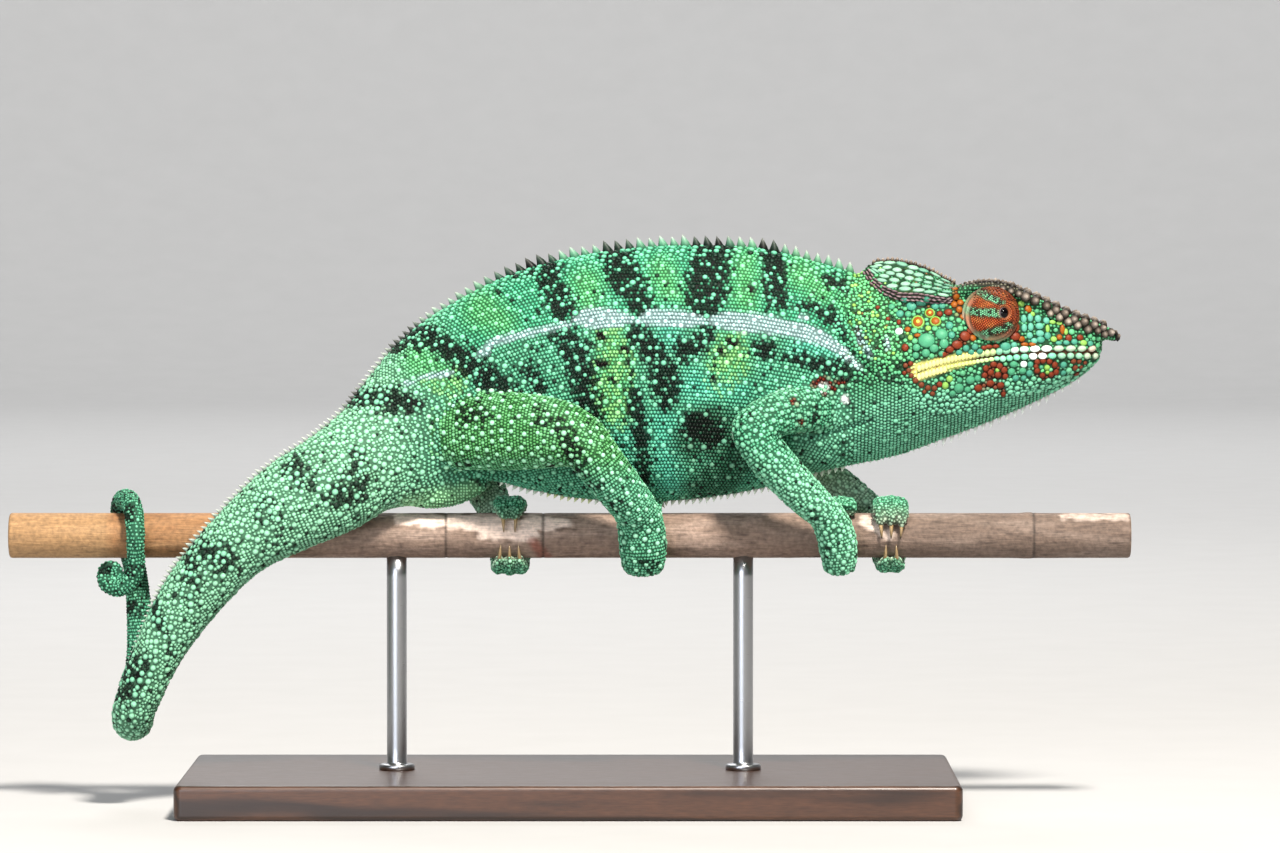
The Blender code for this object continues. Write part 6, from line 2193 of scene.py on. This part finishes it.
def wood_material():
    """Dark stained close-grained hardwood under satin varnish: growth lines about 2 mm apart, pores along them."""
    made = Nodes("stained hardwood")
    drawn = made.here((0.10, 1.0, 1.0))
    drift, _ = made.noise(drawn, 60.0, 3.0)
    moved = made.add(
        "ShaderNodeVectorMath", {0: drawn, 1: made.scaled((drift, "Color"), 0.012)}, operation="ADD")
    lines = made.add(
        "ShaderNodeTexWave", {"Vector": (moved, "Vector"), "Scale": 155.0, "Distortion": 2.5, "Detail": 3.0},
        bands_direction="Y")
    pores = made.noise(drawn, 2600.0, 4.0)
    tones = made.add("ShaderNodeValToRGB", {"Fac": made.both((lines, "Fac"), pores, "MULTIPLY")})
    for element, text in zip(tones.color_ramp.elements, ("#22130B", "#5A3823")):
        element.color = (*linear(text), 1)
    return made.set(
        Base_Color=(tones, "Color"), Roughness=made.spread(pores, 0.30, 0.48), Coat_Weight=0.25,
        Coat_Roughness=0.2, Normal=made.bump(pores, 0.25, 0.00008))


def steel_material():
    """Brushed stainless steel: fine turned lines round the rod, drawn coarser than life at 0.15 mm."""
    made = Nodes("brushed stainless steel")
    lines = made.noise(made.here((0.05, 0.05, 1.0)), 6500.0, 2.0)
    return made.set(
        Base_Color=(*linear("#A9ABAE"), 1), Metallic=1.0, Roughness=made.spread(lines, 0.22, 0.42),
        Normal=made.bump(lines, 0.15, 0.00004))


def floor_material():
    """Plain pale matt paper."""
    made = Nodes("matt paper sweep")
    tone = made.spread(made.noise(made.here(), 40.0, 2.0), 0.42, 0.45)
    tint = made.add("ShaderNodeCombineColor", {channel: tone for channel in ("Red", "Green", "Blue")})
    return made.set(Base_Color=(tint, "Color"), Roughness=0.9)


# Stage

AIM = (18.2, 0.0, 98.3)
CAMERA_DISTANCE = 1846.0
CAMERA_RISE = 2.0
LENS = 200.0

LAMPS = [
    ("key", (0.35, -0.95, 1.35), 0.28, 64.0, "#FFF8EE", (0.0, 0.0, 0.09)),
    ("fill", (-0.5, -1.40, 0.24), 1.0, 15.5, "#EEF4FF", (0.0, 0.0, 0.09)),
    ("rim", (-0.2, 1.0, 1.0), 0.8, 9.0, "#FFFFFF", (0.0, 0.0, 0.09)),
    ("wash", (0.0, 1.7, 2.4), 1.6, 95.0, "#FFFFFF", (0.0, 4.4, 0.5)),
]


def build_sweep():
    """A round floor that curves up into a wall, open at the top."""
    shape = bmesh.new()
    flat, bend = 3.3, 1.2
    profile = [(0.0, 0.0), (flat, 0.0)]
    profile += [(flat + bend * math.sin(a), bend - bend * math.cos(a)) for a in np.linspace(0.1, math.pi / 2, 14)]
    profile.append((flat + bend, 5.0))
    start = shape.verts.new((0, 0, 0))
    for x, z in profile[1:]:
        start = bmesh.ops.extrude_vert_indiv(shape, verts=[start])["verts"][0]
        start.co = (x, 0, z)
    bmesh.ops.spin(shape, geom=shape.verts[:] + shape.edges[:], cent=(0, 0, 0), axis=(0, 0, 1),
                   angle=2 * math.pi, steps=96, use_merge=True)
    bmesh.ops.remove_doubles(shape, verts=shape.verts, dist=1e-6)
    bmesh.ops.recalc_face_normals(shape, faces=shape.faces)
    if sum(face.normal.z * face.calc_area() for face in shape.faces) < 0:
        bmesh.ops.reverse_faces(shape, faces=shape.faces)
    obj = finished("sweep", mesh_from("sweep", shape))
    obj.data.materials.append(materials()["floor"])
    return obj


def point_at(obj, target):
    way = Vector(target) - obj.location
    obj.rotation_euler = way.to_track_quat("-Z", "Y").to_euler()


def build_camera():
    camera = in_scene("camera", bpy.data.cameras.new("camera"))
    camera.data.lens = LENS
    camera.data.sensor_width = 36.0
    camera.data.clip_start, camera.data.clip_end = 0.05, 20.0
    rise = math.radians(CAMERA_RISE)
    aim = Vector(AIM) * MM
    camera.location = aim + Vector((0, -math.cos(rise), math.sin(rise))) * CAMERA_DISTANCE * MM
    point_at(camera, aim)
    bpy.context.scene.camera = camera


def build_lamps():
    for name, where, size, power, tint, target in LAMPS:
        lamp = in_scene(name, bpy.data.lights.new(name, "AREA"))
        lamp.data.shape, lamp.data.size = "DISK", size
        lamp.data.energy, lamp.data.color = power, linear(tint)
        lamp.location = where
        point_at(lamp, target)
    world = bpy.data.worlds.new("studio")
    world.use_nodes = True
    sky = world.node_tree.nodes["Background"].inputs
    sky["Color"].default_value, sky["Strength"].default_value = (*linear("#EEF1F4"), 1), 0.21
    bpy.context.scene.world = world


# Operators

class CHAMELEON_OT_skin(bpy.types.Operator):
    """Builds the skin of the whole animal over its solids"""

    bl_idname = "chameleon.skin"
    bl_label = "Skin"

    def execute(self, context):
        _, sizes = settings()
        skin = build_skin(sizes.voxel)
        colour_skin(skin)
        part(skin, "scaly_skin", materials()["skin"], *body_nodes())
        return {"FINISHED"}


class CHAMELEON_OT_scales(bpy.types.Operator):
    """Lays the scales of the head, body, tail and limbs"""

    bl_idname = "chameleon.scales"
    bl_label = "Scales"

    def execute(self, context):
        for name, coat in sorted(lay_body_scales().items()):
            part(coat.build(name), "scaly_skin", materials()["scales"])
        return {"FINISHED"}


class CHAMELEON_OT_spines(bpy.types.Operator):
    """Stands the spines along the back, the belly and the throat"""

    bl_idname = "chameleon.spines"
    bl_label = "Spines"

    def execute(self, context):
        part(lay_spines().build("spines"), "scaly_skin", materials()["scales"])
        return {"FINISHED"}


class CHAMELEON_OT_snout(bpy.types.Operator):
    """Sets the large tubercles along the brows and the snout"""

    bl_idname = "chameleon.snout"
    bl_label = "Snout crest"

    def execute(self, context):
        part(lay_snout().build("crest_of_snout"), "crest_tubercles", materials()["crest"], "snout_crest")
        return {"FINISHED"}


class CHAMELEON_OT_eyes(bpy.types.Operator):
    """Builds both eyes: turret, its granules and the eyeball"""

    bl_idname = "chameleon.eyes"
    bl_label = "Eyes"

    def execute(self, context):
        for side, name in ((-1, "right"), (1, "left")):
            part(build_turret(side, name), "eyelid", materials()["eyelid"], f"eye_turret_{name}")
            part(turret_coat(side).build(f"turret_scales_{name}"), "eyelid", materials()["eyelid"])
            part(build_eyeball(side, name), "pupil", materials()["eye"], f"eye_{name}")
        return {"FINISHED"}


class CHAMELEON_OT_claws(bpy.types.Operator):
    """Builds the claws of all four feet"""

    bl_idname = "chameleon.claws"
    bl_label = "Claws"

    def execute(self, context):
        for foot in TOES:
            part(build_claws(foot, side_of(foot)), "crest_tubercles", materials()["claw"])
        return {"FINISHED"}


class CHAMELEON_OT_perch(bpy.types.Operator):
    """Builds the cut branch that the animal grips"""

    bl_idname = "chameleon.perch"
    bl_label = "Perch"

    def execute(self, context):
        perch = build_perch()
        add_disc_rings(perch)
        colour_perch(perch)
        part(perch, "bark", materials()["bark"], "perch")
        return {"FINISHED"}


class CHAMELEON_OT_stand(bpy.types.Operator):
    """Builds the wooden base and its two steel rods"""

    bl_idname = "chameleon.stand"
    bl_label = "Stand"

    def execute(self, context):
        part(build_base(), "stained_wood", materials()["wood"], "stand_base")
        for name, sign in (("back", -1), ("front", 1)):
            rod = build_rod(f"rod_{name}", sign * ROD_SPACING / 2)
            part(rod, "brushed_steel", materials()["steel"], f"stand_rod_{name}")
        return {"FINISHED"}


class CHAMELEON_OT_stage(bpy.types.Operator):
    """Sets the floor, lamps and camera"""

    bl_idname = "chameleon.stage"
    bl_label = "Stage"

    def execute(self, context):
        build_sweep()
        build_lamps()
        build_camera()
        context.scene.view_settings.view_transform = "Standard"
        return {"FINISHED"}


STEPS = ("skin", "scales", "spines", "snout", "eyes", "claws", "perch", "stand", "stage")


class CHAMELEON_PT_panel(bpy.types.Panel):
    """Colours, sizes and the steps that build the model"""

    bl_idname = "CHAMELEON_PT_panel"
    bl_label = "Chameleon"
    bl_space_type = "VIEW_3D"
    bl_region_type = "UI"
    bl_category = "Chameleon"

    def draw(self, context):
        layout = self.layout
        for step in STEPS:
            layout.operator(f"chameleon.{step}")
        for group in settings():
            column = layout.column()
            for name in type(group).__annotations__:
                column.prop(group, name)


CLASSES = (
    ChameleonColours, ChameleonSizes, CHAMELEON_OT_skin, CHAMELEON_OT_scales, CHAMELEON_OT_spines,
    CHAMELEON_OT_snout, CHAMELEON_OT_eyes, CHAMELEON_OT_claws, CHAMELEON_OT_perch, CHAMELEON_OT_stand,
    CHAMELEON_OT_stage, CHAMELEON_PT_panel,
)


def register():
    for cls in CLASSES:
        bpy.utils.register_class(cls)
    bpy.types.Scene.chameleon_colours = bpy.props.PointerProperty(type=ChameleonColours)
    bpy.types.Scene.chameleon_sizes = bpy.props.PointerProperty(type=ChameleonSizes)


def unregister():
    del bpy.types.Scene.chameleon_colours
    del bpy.types.Scene.chameleon_sizes
    for cls in reversed(CLASSES):
        bpy.utils.unregister_class(cls)


def main():
    register()
    for name in ("Cube", "Light", "Camera"):
        if name in bpy.data.objects:
            bpy.data.objects.remove(bpy.data.objects[name])
    for step in STEPS:
        getattr(bpy.ops.chameleon, step)()


if __name__ == "__main__":
    main()
